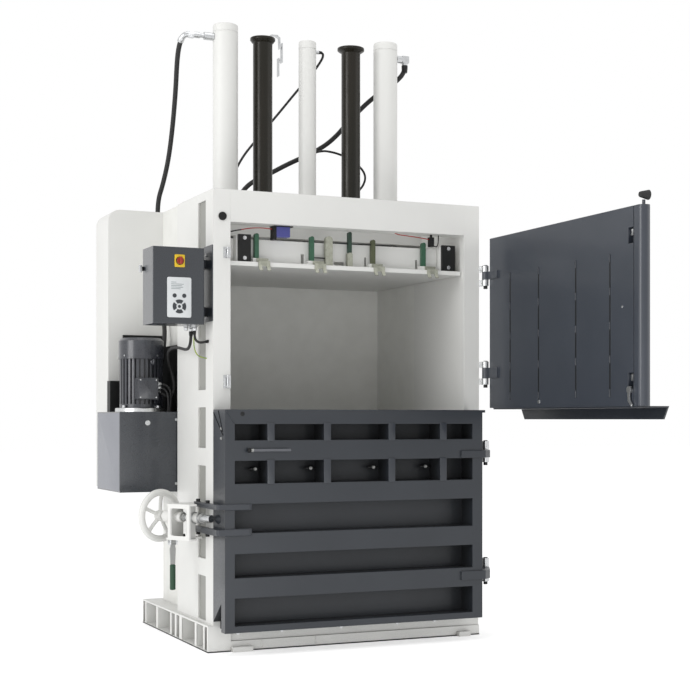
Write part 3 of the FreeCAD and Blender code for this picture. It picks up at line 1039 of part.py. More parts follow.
def motor():
    flange = rod("motor_foot", "z", ("motor_x", "motor_y"), "flange_r", "cab_high", "flange_top")
    foot = rounded("motor_flange", flange, "4", lambda edge: edge.CenterOfMass.z
                   > size("flange_top") - 1 and edge.Curve.TypeId == "Part::GeomCircle")
    body = turned("motor_body", (("0", "flange_top"), ("motor_r", "flange_top"),
                                 ("motor_r", "motor_top"), ("0", "motor_top")),
                  "motor_x", "motor_y")
    gap = profile(body, "fin_gap_sketch", "xy",
                  (("motor_core_r", "-fin_gap / 2"), ("motor_r + 4", "-fin_gap / 2"),
                   ("motor_r + 4", "fin_gap / 2"), ("motor_core_r", "fin_gap / 2")),
                  "motor_top + 1")
    pocket = body.newObject("PartDesign::Pocket", "fin_gap_pocket")
    pocket.Profile = gap
    pocket.setExpression("Length", bound("motor_top - flange_top - 18"))
    doc.recompute()
    fins = body.newObject("PartDesign::PolarPattern", "fins")
    fins.Originals = [pocket]
    fins.Axis = (gap, ["N_Axis"])
    fins.Angle = 360
    fins.Occurrences = FIN_COUNT
    body.Tip = fins
    doc.recompute()
    whole = math.pi * size("motor_r") ** 2 * (size("motor_top") - size("flange_top"))
    assert body.Shape.Volume < 0.98 * whole, "the gaps between the fins are not cut"
    bore = rod("motor_bore", "z", ("motor_x", "motor_y"), "shaft_r + fit_gap",
               "motor_top - 60", "motor_top + 1")
    keep(less("finned_motor", joined("motor_casting", [body, foot]), [bore]), "finned_motor")
    clearance = rod("terminal_relief", "z", ("motor_x", "motor_y"), "motor_r + 0.3",
                    "flange_top - 6", "flange_top + 194")
    keep(less("terminal_box", rounded("terminal_round", box(
        "terminal_blank", ("motor_x - 56", "motor_x + 44"), ("motor_y - 157", "motor_y - 95"),
        ("flange_top + 40", "flange_top + 146")), "6", along(Y_AXIS)),
        [clearance]), "terminal_box")
    cowl = turned("cowl_shell", (("cowl_r - cowl_sheet", "motor_top"), ("cowl_r", "motor_top"),
                                 ("cowl_r", "cowl_top - 14"), ("cowl_r - 14", "cowl_top"),
                                 ("0", "cowl_top"), ("0", "cowl_top - cowl_sheet"),
                                 ("cowl_r - 15", "cowl_top - cowl_sheet"),
                                 ("cowl_r - cowl_sheet", "cowl_top - 15")),
                  "motor_x", "motor_y")
    vents = []
    for number in range(12):
        slot = Part.makeBox(52, 9, 10, FreeCAD.Vector(30, -4.5, size("cowl_top") - 6))
        slot.rotate(FreeCAD.Vector(), Z_AXIS, 30 * number)
        slot.translate(FreeCAD.Vector(size("motor_x"), size("motor_y"), 0))
        vents.append(shaped(f"vent_{number}", slot))
    keep(less("fan_cowl", cowl, vents), "fan_cowl")
    shaft = rod("fan_shaft", "z", ("motor_x", "motor_y"), "shaft_r", "motor_top - 58",
                "motor_top + 50")
    blades = []
    for number in range(7):
        blade = Part.makeBox(72, 5, 40, FreeCAD.Vector(16, -2.5, size("motor_top") + 14))
        blade.rotate(FreeCAD.Vector(), Z_AXIS, 360 / 7 * number)
        blade.translate(FreeCAD.Vector(size("motor_x"), size("motor_y"), 0))
        blades.append(shaped(f"blade_{number}", blade))
    hub = rod("fan_hub", "z", ("motor_x", "motor_y"), 24, "motor_top + 10", "motor_top + 54")
    keep(joined("motor_fan", [shaft, hub] + blades), "motor_fan")


def rear_housing():
    outer = box("house_outer", ("house_left", "house_right"), ("wall_y", "house_back"),
                ("house_low", "wall_top"))
    rim = rounded("house_rim", outer, "house_round", lambda edge: along(Y_AXIS)(edge)
                  and edge.CenterOfMass.x < size("house_left") + 1
                  and edge.CenterOfMass.z > size("wall_top") - 1)
    core = box("house_core", ("house_left + house_sheet", "house_right - house_sheet"),
               ("wall_y + house_sheet", "house_back - house_sheet"),
               ("house_low + house_sheet", "wall_top - house_sheet"))
    soft = rounded("house_core_round", core, "house_round - house_sheet", lambda edge:
                   along(Y_AXIS)(edge) and edge.CenterOfMass.x < size("house_left") + 9
                   and edge.CenterOfMass.z > size("wall_top") - 9)
    inlet = rod("house_inlet", "z", HOSE_ROUTES["left_hose"][-1][:2], 13, "wall_top - 20",
                "wall_top + 1")
    keep(less("rear_housing", rim, [soft, inlet]), "rear_housing")


# Hoses and cables, each a hand-chosen route in millimetres.
HOSE_ROUTES = {
    "left_hose": (("-hose_end_x", "press_y", "outer_port"),
                  ("-hose_end_x - 22", "press_y", "outer_port"), (-637, 24, "outer_port - 8"),
                  (-648, 44, 2893), (-650, 76, 2858), (-642, 130, 2800), (-622, 220, 2690),
                  (-606, 330, 2530), (-604, 410, 2380), (-614, 480, 2260),
                  (-628, 530, "wall_top + 64"), (-628, 530, "wall_top")),
    "middle_hose": (("mid_cyl_r + 16", "press_y", "mid_port"),
                    ("mid_cyl_r + 32", "press_y", "mid_port"), (90, 24, "mid_port - 5"),
                    (94, 50, 2880), (66, 104, 2822), (5, 160, 2740), (-80, 220, 2620),
                    (-168, 290, 2500), (-240, 370, 2390), (-284, 415, 2250),
                    (-290, 420, "frame_top + 71"), (-290, 420, "frame_top")),
    "right_hose": (("port_x + 48", "press_y", "right_port - 28"),
                   ("port_x + 48", "press_y", "right_port - 62"), (512, 52, 2810),
                   (452, 100, 2764), (380, 150, 2700), (300, 180, 2610), (210, 205, 2500),
                   (110, 235, 2432), (0, 262, 2380), (-110, 300, 2316), (-200, 345, 2270),
                   (-250, 375, "frame_top + 101"), (-250, 375, "frame_top")),
    "motor_cable": (("cbox_right - 30.5", "front_y + 115", "cbox_low - 26"),
                    ("cbox_right - 30.5", "front_y + 115", "cbox_low - 63"),
                    (-742, -424, 1382), (-740, -384, 1370), (-735, -310, 1374),
                    (-726, -170, 1390), (-716, -20, 1392), (-702, 80, 1372), (-680, 140, 1330),
                    (-656, 174, 1284), (-646, 168, 1236), (-649, 150, 1195), (-664, 136, 1170),
                    (-690, 125, 1160), (-715, 119.5, 1172),
                    ("motor_x + 60", "motor_y - 126", "flange_top + 79"),
                    ("motor_x + 44", "motor_y - 126", "flange_top + 79")),
    "pump_hose": ((-682, 380, "cab_high"), (-682, 380, "cab_high + 64"), (-670, 350, 1270),
                  (-652, 330, 1400), (-640, 350, 1510), (-642, 400, 1600),
                  (-664, "wall_y - 50", 1640), (-664, "wall_y", 1640)),
}
HOSE_DIAMETERS = {"left_hose": 24, "middle_hose": 12, "right_hose": 24, "motor_cable": 14,
                  "pump_hose": 22}


def hoses():
    for name, route in HOSE_ROUTES.items():
        keep(hose(name, route, HOSE_DIAMETERS[name]), name)


def hydraulic_fittings():
    left = [rod("left_port_nut", "x", ("press_y", "outer_port"), 19, "-port_x - 48",
                "-outer_cyl_x - outer_cyl_r"),
            rod("left_port_pipe", "x", ("press_y", "outer_port"), 11, "-port_x - 70",
                "-port_x - 48"),
            rod("left_port_ferrule", "x", ("press_y", "outer_port"), 15, "-hose_end_x",
                "-port_x - 70")]
    middle = [rod("mid_port_nut", "x", ("press_y", "mid_port"), 10, "mid_cyl_r",
                  "mid_cyl_r + 16")]
    right = [rod("right_port_nut", "x", ("press_y", "right_port"), 19,
                 "outer_cyl_x + outer_cyl_r", "port_x + 44"),
             box("right_port_elbow", ("port_x + 30", "port_x + 66"),
                 ("press_y - 18", "press_y + 18"), ("right_port - 18", "right_port + 18")),
             rod("right_port_ferrule", "z", ("port_x + 48", "press_y"), 15,
                 "right_port - 28", "right_port - 18")]
    blunt = [joined("left_port", left), middle[0], joined("right_port", right)]
    barrels = [rod(f"{side}_port_relief", "z", (f"{sign} * outer_cyl_x", "press_y"),
                   "outer_cyl_r", "outer_top - 110", "outer_top - end_cap")
               for side, sign in (("left", -1), ("right", 1))]
    keep(group("hydraulic_fittings", [less("left_fitting", blunt[0], [barrels[0]]), blunt[1],
                                      less("right_fitting", blunt[2], [barrels[1]])]),
         "hydraulic_fittings")


def frame_bolts():
    base = bolts("base_bolts", [(x, "front_y + ledge_face", 84) for x in
                                (-556, -345, -51, 237, 434)], -Y_AXIS, 18, 6)
    side = bolts("box_screws", [("-side_x - plate_thick", -472, f"plate_low + {rise}")
                                for rise in (20, 303)], -X_AXIS, 14, 6)
    cover = bolts("cover_screws", [("cab_right - 11.5", "cab_front - 4", level)
                                   for level in ("cab_low + 39", "cab_high - 37")],
                  -Y_AXIS, 12, 5)
    keep(group("frame_screws", [base, side, cover]), "frame_screws")


def build():
    base_frame()
    side_frames()
    front_lintel()
    chamber()
    crosshead()
    press_cylinders()
    guide_rods()
    trip_strip()
    platen()
    platen_fittings()
    lintel_fittings()
    lower_door()
    lower_door_fittings()
    lock_arms()
    hinges()
    upper_door()
    door_lever()
    lock()
    release_lever()
    control_box()
    cabinet()
    motor()
    rear_housing()
    hydraulic_fittings()
    hoses()
    frame_bolts()
    doc.recompute()


def export():
    """Check every object, then write one file for each sub-part."""
    failed = [item.Label for item in doc.Objects
              if "Invalid" in item.State or "Error" in item.State]
    failed += [item.Label for item in SUBPARTS
               if item.Shape.isNull() or not item.Shape.isValid()]
    if failed:
        raise RuntimeError("not built: " + ", ".join(failed))
    for item in SUBPARTS:
        item.Shape.exportStep(os.path.join("parts", item.Label + ".step"))
    print(len(SUBPARTS), "sub-parts written")


build()
export()
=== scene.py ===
"""An upright recycling baler, dressed for a studio picture.

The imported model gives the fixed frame.  Each sub-assembly below is a class that adds what a
maker's drawing leaves out: turned tubes, welds, seams, keys, cables and every finish.
"""

import logging
import math
from dataclasses import dataclass
from enum import Enum
from typing import ClassVar, Iterable, Sequence

import bpy
import numpy as np
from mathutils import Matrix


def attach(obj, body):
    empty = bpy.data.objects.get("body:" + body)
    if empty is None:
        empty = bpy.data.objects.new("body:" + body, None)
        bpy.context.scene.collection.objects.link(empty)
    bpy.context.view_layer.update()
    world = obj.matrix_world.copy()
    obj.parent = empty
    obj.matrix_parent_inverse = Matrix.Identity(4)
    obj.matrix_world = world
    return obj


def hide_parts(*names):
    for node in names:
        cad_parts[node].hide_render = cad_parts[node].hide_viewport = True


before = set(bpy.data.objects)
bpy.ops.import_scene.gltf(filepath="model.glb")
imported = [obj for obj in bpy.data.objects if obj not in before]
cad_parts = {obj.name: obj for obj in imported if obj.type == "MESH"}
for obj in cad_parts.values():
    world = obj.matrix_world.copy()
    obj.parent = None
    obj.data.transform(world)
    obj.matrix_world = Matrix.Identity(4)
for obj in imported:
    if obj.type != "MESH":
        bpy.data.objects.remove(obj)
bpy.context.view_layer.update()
LOG = logging.getLogger("baler")
Array = np.ndarray
MM = 0.001


class Axis(Enum):
    """Direction in the machine's frame: X to its right, Y into its depth, Z up."""

    X = (1.0, 0.0, 0.0)
    Y = (0.0, 1.0, 0.0)
    Z = (0.0, 0.0, 1.0)

    @property
    def vector(self) -> Array:
        """The direction as an array."""
        return np.array(self.value)


FRONT, LEFT, RIGHT, UP = -Axis.Y.vector, -Axis.X.vector, Axis.X.vector, Axis.Z.vector


class Body(Enum):
    """Body that a piece moves with."""

    FRAME = "frame"
    RAM = "ram"
    LOWER_DOOR = "lower_door"
    UPPER_DOOR = "upper_door"
    HANDWHEEL = "handwheel"
    BOX_LID = "control_box_door"
    MAIN_SWITCH = "main_switch"
    BOX_LATCH = "box_latch"


class Slot(Enum):
    """Material slot that a finish belongs to."""

    PAINT_WHITE = "paint_white"
    PAINT_GREY = "paint_grey"
    PAINT_ANTHRACITE = "paint_anthracite"
    SKIRT_DARK = "skirt_dark"
    BRIGHT_STEEL = "bright_steel"
    BLACK_STEEL = "black_steel"
    CHROMED_ROD = "chromed_rod"
    GUIDE_DARK = "guide_dark"
    BLACK_PLASTIC = "black_plastic"
    WHITE_PLASTIC = "white_plastic"
    YELLOW_PLASTIC = "yellow_plastic"
    RED_PLASTIC = "red_plastic"
    GREEN_PLASTIC = "green_plastic"
    GREEN_GRIP = "green_grip"
    SENSOR_BLUE = "sensor_blue"
    HOSE_RUBBER = "hose_rubber"
    MOTOR_GREY = "motor_grey"


class Stiffness(Enum):
    """How a line bends."""

    LIMP = "limp"
    MEDIUM = "medium"


# ---------------------------------------------------------------------------- surfaces

@dataclass
class Shell:
    """A mesh in millimetres: vertices as rows, faces as index tuples.

    Attributes:
        points: Array of shape (n, 3).
        faces: Faces as lists of vertex numbers, pointing outwards.
    """

    points: Array
    faces: list

    def moved(self, offset: Sequence[float]) -> "Shell":
        """The shell shifted by an offset."""
        return Shell(self.points + np.asarray(offset, float), self.faces)

    def turned(self, matrix: Array) -> "Shell":
        """The shell with its points multiplied by a 3 by 3 rotation."""
        return Shell(self.points @ np.asarray(matrix).T, self.faces)

    def joined(self, others: Iterable["Shell"]) -> "Shell":
        """One shell that holds this one and the others, unwelded.

        Args:
            others: The shells to add.

        Returns:
            The joined shell.
        """
        points, faces = [self.points], list(self.faces)
        count = len(self.points)
        for other in others:
            faces += [tuple(int(i) + count for i in face) for face in other.faces]
            points.append(other.points)
            count += len(other.points)
        return Shell(np.vstack(points), faces)


def merged(shells: Sequence[Shell]) -> Shell:
    """One shell made of several."""
    return shells[0].joined(shells[1:])


def basis(direction: Array) -> Array:
    """Rotation whose third column is the direction.

    The first column is taken square to the direction and to Z, or to X where they agree.

    Args:
        direction: Vector of any length.

    Returns:
        Array of shape (3, 3).
    """
    w = np.asarray(direction, float) / np.linalg.norm(direction)
    helper = RIGHT if abs(w[2]) > 0.9 else UP
    u = np.cross(helper, w)
    u /= np.linalg.norm(u)
    return np.column_stack([u, np.cross(w, u), w])


def grid_faces(rows: int, columns: int, closed_rows: bool = False,
               closed_columns: bool = True) -> list:
    """Quads of a grid of points numbered row by row.

    Args:
        rows: Number of rows of points.
        columns: Number of points in a row.
        closed_rows: Whether the last row joins the first.
        closed_columns: Whether each row is a loop.

    Returns:
        A list of four-corner faces.
    """
    row = np.arange(rows if closed_rows else rows - 1)
    column = np.arange(columns if closed_columns else columns - 1)
    i, j = np.meshgrid(row, column, indexing="ij")
    k, m = (i + 1) % rows, (j + 1) % columns
    quads = np.stack([i * columns + j, i * columns + m, k * columns + m, k * columns + j], -1)
    return quads.reshape(-1, 4).tolist()


def end_faces(rows: int, columns: int) -> list:
    """The two many-cornered faces that close the first and the last row of a grid."""
    last = (rows - 1) * columns
    return [tuple(range(columns - 1, -1, -1)), tuple(range(last, last + columns))]


def revolved(profile: Sequence[tuple], segments: int = 48, closed: bool = False) -> Shell:
    """Surface of revolution about Z.

    Point (i, j) is (r_i cos a_j, r_i sin a_j, z_i) with a_j = 2 pi j / segments.

    Args:
        profile: Pairs of radius and height, from the bottom up along the outside.
        segments: Steps round the axis.
        closed: Whether the profile is a loop; otherwise its ends are capped.

    Returns:
        The closed surface.
    """
    radius, height = np.asarray(profile, float).T
    angle = np.arange(segments) * 2 * np.pi / segments
    points = np.stack([np.outer(radius, np.cos(angle)), np.outer(radius, np.sin(angle)),
                       np.outer(height, np.ones(segments))], -1).reshape(-1, 3)
    faces = grid_faces(len(radius), segments, closed_rows=closed)
    if not closed:
        faces += end_faces(len(radius), segments)
    return Shell(points, faces)


def lathe(profile: Sequence[tuple], place: Sequence[float], direction: Array,
          segments: int = 48, closed: bool = False) -> Shell:
    """A revolved profile set on a line through place along direction."""
    return revolved(profile, segments, closed).turned(basis(direction)).moved(place)


def rolled_rim(radius: float, top: float, edge: float, steps: int) -> list:
    """Profile of a rolled rim: (r - e + e cos a, z - e + e sin a) for a quarter turn of a."""
    return [(radius - edge + edge * math.cos(a), top - edge + edge * math.sin(a))
            for a in np.linspace(0, np.pi / 2, steps)]


def disc(radius: float, low: float, high: float, edge: float, place: Sequence[float],
         direction: Array, segments: int = 40) -> Shell:
    """Round disc with a small rounded edge of three steps at each end.

    Args:
        radius: Outside radius.
        low: Level of its foot along the direction.
        high: Level of its top.
        edge: Radius of the rounded edges.
        place: Point that the levels start from.
        direction: Where its top faces.
        segments: Steps round the axis.

    Returns:
        The disc.
    """
    foot = [(radius - edge + edge * math.sin(a), low + edge - edge * math.cos(a))
            for a in np.linspace(0, np.pi / 2, 4)]
    return lathe(foot + rolled_rim(radius, high, edge, 4), place, direction, segments)


def torus(major: float, minor: float, place: Sequence[float], direction: Array,
          around: int = 96, across: int = 20) -> Shell:
    """Ring: point (a, b) is ((R + r cos b) cos a, (R + r cos b) sin a, r sin b).

    Args:
        major: Radius of the ring's middle line.
        minor: Radius of its section.
        place: Its middle.
        direction: Its axis.
        around: Steps round the ring.
        across: Steps round its section.

    Returns:
        The ring.
    """
    a = np.arange(around) * 2 * np.pi / around
    b = np.arange(across) * 2 * np.pi / across
    reach = major + minor * np.cos(b)
    points = np.stack([np.outer(np.cos(a), reach), np.outer(np.sin(a), reach),
                       np.outer(np.ones(around), minor * np.sin(b))], -1).reshape(-1, 3)
    shell = Shell(points, grid_faces(around, across, closed_rows=True))
    shell.faces = [face[::-1] for face in shell.faces]
    return shell.turned(basis(direction)).moved(place)


def stacked(rings: Sequence[tuple], axis: Axis) -> Shell:
    """Skin through outlines of equal count, each at its level along an axis, ends closed.

    An outline's two numbers are the other two coordinates in x, y, z order.  Twice its area is
    the sum of x_i y_(i+1) - x_(i+1) y_i, whose sign tells which way it runs.

    Args:
        rings: Pairs of an outline and its level, the levels rising.
        axis: The axis that the levels are measured along.

    Returns:
        The closed skin.
    """
    flat = np.array([outline for outline, _ in rings], float)
    turn = np.roll(flat[0], -1, axis=0)
    area = np.sum(flat[0, :, 0] * turn[:, 1] - turn[:, 0] * flat[0, :, 1])
    if (area < 0) != (axis is Axis.Y):
        flat = flat[:, ::-1]
    levels, count = np.array([level for _, level in rings], float), flat.shape[1]
    columns = [flat[..., 0], flat[..., 1]]
    columns.insert("XYZ".index(axis.name), np.repeat(levels[:, None], count, axis=1))
    faces = grid_faces(len(rings), count) + end_faces(len(rings), count)
    return Shell(np.stack(columns, -1).reshape(-1, 3), faces)


def prism(outline: Sequence[tuple], low: float, high: float, axis: Axis) -> Shell:
    """An outline drawn square to an axis and carried along it from low to high."""
    return stacked([(outline, low), (outline, high)], axis)


def block(low: Sequence[float], high: Sequence[float]) -> Shell:
    """Box between two corners, as a prism along Z."""
    (x0, y0, z0), (x1, y1, z1) = low, high
    return prism([(x0, y0), (x1, y0), (x1, y1), (x0, y1)], z0, z1, Axis.Z)


def rounded_outline(x0: float, x1: float, y0: float, y1: float, radius: float,
                    steps: int = 5) -> list:
    """Rectangle with quarter-circle corners, anticlockwise.

    Args:
        x0: Left side.
        x1: Right side.
        y0: Lower side.
        y1: Upper side.
        radius: Radius of the corners.
        steps: Points on each corner.

    Returns:
        The outline's points.
    """
    turn = np.linspace(0, np.pi / 2, steps)
    centres = ((x1 - radius, y1 - radius, 0), (x0 + radius, y1 - radius, 1),
               (x0 + radius, y0 + radius, 2), (x1 - radius, y0 + radius, 3))
    return [(cx + radius * math.cos(a + q * np.pi / 2), cy + radius * math.sin(a + q * np.pi / 2))
            for cx, cy, q in centres for a in turn]


def soft_plate(across: tuple, up: tuple, front: float, back: float, corner: float,
               edge: float, axis: Axis = Axis.Y) -> Shell:
    """Plate with round corners whose front edge rolls over a quarter circle.

    Ring k is the outline inset by edge (1 - sin a_k) at depth front + edge (1 - cos a_k).

    Args:
        across: Lowest and highest place of its width.
        up: Lowest and highest place of its height.
        front: Level of the rolled face.
        back: Level of the flat face.
        corner: Radius of the outline's corners.
        edge: Radius of the rolled edge.
        axis: The axis that the plate faces along.

    Returns:
        The plate.
    """
    sense = 1 if back > front else -1
    rings = []
    for a in np.linspace(0, np.pi / 2, 4):
        inset = edge * (1 - math.sin(a))
        outline = rounded_outline(across[0] + inset, across[1] - inset, up[0] + inset,
                                  up[1] - inset, max(corner - inset, 0.3))
        rings.append((outline, front + sense * edge * (1 - math.cos(a))))
    rings.append((rings[-1][0], back))
    return stacked(rings[::sense], axis)


def hex_bolt(place: Sequence[float], direction: Array, across: float, height: float,
             washer: float = 0.0) -> Shell:
    """Hexagon head with turned-down corners, on a washer of the given radius.

    Args:
        place: Where its foot stands.
        direction: Where its head faces.
        across: Width across the flats.
        height: Height of the head.
        washer: The washer's radius, or 0.

    Returns:
        The head on its washer.
    """
    corner, foot = across / math.sqrt(3), 2.0 if washer else 0.0
    head = lathe([(corner, foot), (corner, foot + 0.75 * height),
                  (0.9 * corner, foot + height)], place, direction, 6)
    if not washer:
        return head
    return head.joined([disc(washer, 0, foot, 0.4, place, direction, 28)])


def rod(start: Sequence[float], end: Sequence[float], radius: float, steps: int,
        sides: int) -> Shell:
    """Straight round bar between two points, in steps along its length."""
    return swept(np.linspace(start, end, steps), radius, sides)


def weld(start: Sequence[float], end: Sequence[float], size: float = 3.5,
         pitch: float = 9.0) -> Shell:
    """Weld bead: a bar whose radius is size (1 + 0.16 cos(2 pi s / pitch)) at distance s.

    Args:
        start: First point.
        end: Last point.
        size: Middle radius.
        pitch: Distance between ripples.

    Returns:
        The bead.
    """
    start, end = np.asarray(start, float), np.asarray(end, float)
    reach = float(np.linalg.norm(end - start))
    s = np.linspace(0, reach, max(4, int(reach / pitch * 4)))
    path = start + np.outer(s / reach, end - start)
    radius = size * (1 + 0.16 * np.cos(2 * np.pi * s / pitch))
    radius[[0, -1]] *= 0.4
    return swept(path, radius, 8)


def swept(path: Array, radius: float | Array, sides: int = 10) -> Shell:
    """Round bar along a path: a ring of points square to the path's tangent at each point.

    Args:
        path: Points along the bar.
        radius: One radius, or one for each point.
        sides: Points in a ring.

    Returns:
        The bar with closed ends.
    """
    path = np.asarray(path, float)
    radius = np.broadcast_to(np.asarray(radius, float), len(path))[:, None, None]
    tangent = np.gradient(path, axis=0)
    tangent /= np.linalg.norm(tangent, axis=1)[:, None]
    first = basis(tangent[0])[:, 0]
    side = first - tangent * (tangent @ first)[:, None]
    side /= np.linalg.norm(side, axis=1)[:, None]
    other = np.cross(tangent, side)
    angle = np.arange(sides) * 2 * np.pi / sides
    rings = (path[:, None, :] + radius * (np.cos(angle)[None, :, None] * side[:, None, :]
                                          + np.sin(angle)[None, :, None] * other[:, None, :]))
    faces = grid_faces(len(path), sides) + end_faces(len(path), sides)
    return Shell(rings.reshape(-1, 3), faces)


def curve_points(controls: Sequence[Sequence[float]], count: int = 40) -> Array:
    """Points on a smooth line through the controls, by cubic blending of neighbours.

    Each span uses the Catmull-Rom formula on its four nearest controls.

    Args:
        controls: Points that the line goes through.
        count: Number of points on the line.

    Returns:
        Array of shape (count, 3).
    """
    points = np.asarray(controls, float)
    padded = np.vstack([2 * points[0] - points[1], points, 2 * points[-1] - points[-2]])
    where = np.linspace(0, len(points) - 1 - 1e-9, count)
    span = where.astype(int)
    t = (where - span)[:, None]
    p0, p1, p2, p3 = (padded[span + k] for k in range(4))
    return 0.5 * (2 * p1 + (p2 - p0) * t + (2 * p0 - 5 * p1 + 4 * p2 - p3) * t ** 2
                  + (3 * p1 - p0 - 3 * p2 + p3) * t ** 3)


# ---------------------------------------------------------------------------- finishes

def linear(hexa: str) -> tuple:
    """Linear RGBA of an sRGB hex colour.

    Args:
        hexa: The colour as # and six digits.

    Returns:
        Red, green, blue and alpha.
    """
    channel = np.array([int(hexa[i:i + 2], 16) for i in (1, 3, 5)]) / 255
    value = np.where(channel <= 0.04045, channel / 12.92, ((channel + 0.055) / 1.055) ** 2.4)
    return (*value.tolist(), 1.0)


def add_node(tree: bpy.types.NodeTree, kind: str, settings: dict | None = None,
             links: dict | None = None) -> bpy.types.Node:
    """Add a shader node.

    Args:
        tree: The material's node tree.
        kind: Node type name.
        settings: Properties, or inputs by name, and their values.
        links: Inputs by name and the output sockets that feed them.

    Returns:
        The new node.
    """
    node = tree.nodes.new(kind)
    for name, value in (settings or {}).items():
        if name in node.inputs:
            node.inputs[name].default_value = value
        else:
            setattr(node, name, value)
    for name, socket in (links or {}).items():
        tree.links.new(socket, node.inputs[name])
    return node


LACQUER_ROUGHNESS = 0.12
# Roughness of the hollows that get painted shade.
HOLLOW_ROUGHNESS = 0.95


@dataclass(frozen=True)
class Finish:
    """A Principled surface with soft edges, a fine surface texture and, where asked, painted shade
    in its hollows.

    Attributes:
        name: What the surface is made of and how.
        slot: Material slot meant for its pieces; not used.
        colour: Middle colour, sRGB hex.
        second: Colour that the mottling leans to, sRGB hex.
        mottle_mm: Size of the mottling's patches.
        mottle: Share of the second colour at most.
        roughness: Middle roughness.
        rough_span: How far the roughness wanders either way.
        metallic: 1 for bare metal.
        grain_mm: Size of the bump's grain.
        grain: Height of the bump, in tenths of a millimetre.
        edge_mm: Radius of the softened edges.
        ior: Index of refraction of a coating or plastic.
        coat: Clear coat weight.
        streak: Stretch of the pattern along Z, for drawn or brushed surfaces.
        painted_shade: Share of painted shade that darkens corners and hollows, at most.
        shade_colour: Colour of that painted shade, sRGB hex.
        hollow_mm: How far away a wall still makes a hollow.
    """

    name: str
    slot: Slot
    colour: str
    second: str = "#808080"
    mottle_mm: float = 120.0
    mottle: float = 0.2
    roughness: float = 0.4
    rough_span: float = 0.08
    metallic: float = 0.0
    grain_mm: float = 5.0
    grain: float = 1.0
    edge_mm: float = 1.5
    ior: float = 1.5
    coat: float = 0.0
    streak: float = 1.0
    painted_shade: float = 0.0
    shade_colour: str = "#5f5b55"
    hollow_mm: float = 90.0

    def material(self) -> bpy.types.Material:
        """The finish as a material, made once.

        Returns:
            The material.
        """
        made = bpy.data.materials.get(self.name)
        if made:
            return made
        material = bpy.data.materials.new(self.name)
        material.use_nodes = True
        tree = material.node_tree
        tree.nodes.clear()
        where = add_node(tree, "ShaderNodeTexCoord").outputs["Object"]
        stretch = add_node(tree, "ShaderNodeMapping", {"Scale": (1.0, 1.0, 1.0 / self.streak)},
                           {"Vector": where}).outputs["Vector"]
        patches = add_node(tree, "ShaderNodeTexNoise",
                           {"Scale": 1000 / self.mottle_mm, "Detail": 3.0},
                           {"Vector": stretch}).outputs["Fac"]
        grain = add_node(tree, "ShaderNodeTexNoise",
                         {"Scale": 1000 / self.grain_mm, "Detail": 2.0},
                         {"Vector": stretch}).outputs["Fac"]
        share = add_node(tree, "ShaderNodeMapRange", {"From Min": 0.35, "From Max": 0.75,
                                                      "To Min": 0.0, "To Max": self.mottle},
                         {"Value": patches}).outputs["Result"]
        colour = add_node(tree, "ShaderNodeMix", {"data_type": "RGBA"})
        colour.inputs[6].default_value = linear(self.colour)
        colour.inputs[7].default_value = linear(self.second)
        tree.links.new(share, colour.inputs["Factor"])
        rough = add_node(tree, "ShaderNodeMapRange",
                         {"From Min": 0.3, "From Max": 0.7,
                          "To Min": self.roughness - self.rough_span,
                          "To Max": self.roughness + self.rough_span},
                         {"Value": grain}).outputs["Result"]
        # Painted shade: the colour darkens where ambient occlusion finds a hollow.
        if self.painted_shade:
            colour, rough = self.shaded_in_hollows(tree, colour, rough)
        edge = add_node(tree, "ShaderNodeBevel", {"samples": 4, "Radius": self.edge_mm * MM})
        bump = add_node(tree, "ShaderNodeBump", {"Strength": 0.5, "Distance": self.grain * 1e-4},
                        {"Height": grain, "Normal": edge.outputs["Normal"]})
        surface = add_node(tree, "ShaderNodeBsdfPrincipled",
                           {"Metallic": self.metallic, "IOR": self.ior, "Coat Weight": self.coat,
                            "Coat Roughness": LACQUER_ROUGHNESS},
                           {"Base Color": colour.outputs[2], "Roughness": rough,
                            "Normal": bump.outputs["Normal"]})
        add_node(tree, "ShaderNodeOutputMaterial", links={"Surface": surface.outputs["BSDF"]})
        return material

    def shaded_in_hollows(self, tree: bpy.types.NodeTree, colour: bpy.types.Node,
               rough: bpy.types.NodeSocket) -> tuple:
        """The colour darkened by painted shade, and the roughness made matt, where little open air
        reaches the surface.

        Args:
            tree: The material's node tree.
            colour: The unshaded surface's colour mix.
            rough: The surface's roughness before the hollows are made matt.

        Returns:
            The mixed colour's node and the mixed roughness socket.
        """
        open_air = add_node(tree, "ShaderNodeAmbientOcclusion",
                            {"samples": 6, "Distance": self.hollow_mm * MM})
        share = add_node(tree, "ShaderNodeMapRange", {"From Min": 0.5, "From Max": 0.2,
                                                      "To Min": 0.0, "To Max": self.painted_shade},
                         {"Value": open_air.outputs["AO"]}).outputs["Result"]
        # Painted shade: the colour leans to the shade colour by the hollow's share.
        shade_colour = add_node(tree, "ShaderNodeMix", {"data_type": "RGBA"})
        shade_colour.inputs[7].default_value = linear(self.shade_colour)
        tree.links.new(colour.outputs[2], shade_colour.inputs[6])
        tree.links.new(share, shade_colour.inputs["Factor"])
        dull = add_node(tree, "ShaderNodeMix", {"data_type": "FLOAT"})
        dull.inputs[3].default_value = HOLLOW_ROUGHNESS
        tree.links.new(rough, dull.inputs[2])
        tree.links.new(share, dull.inputs["Factor"])
        return shade_colour, dull.outputs[0]


# Every grain of 2 to 9 mm stands for a finer one, drawn as coarse as it needs to show.

# Powder-coated sheet: even satin white with the soft orange peel of sprayed powder, whose
# true 1 to 2 mm is drawn at 6 mm so that it shows.
WHITE_PAINT = Finish("white_powder_coat", Slot.PAINT_WHITE, "#dfdfdc", "#d6d6d3", 320, 0.5, 0.45,
                     0.05, grain_mm=6, grain=0.6, edge_mm=2.5)
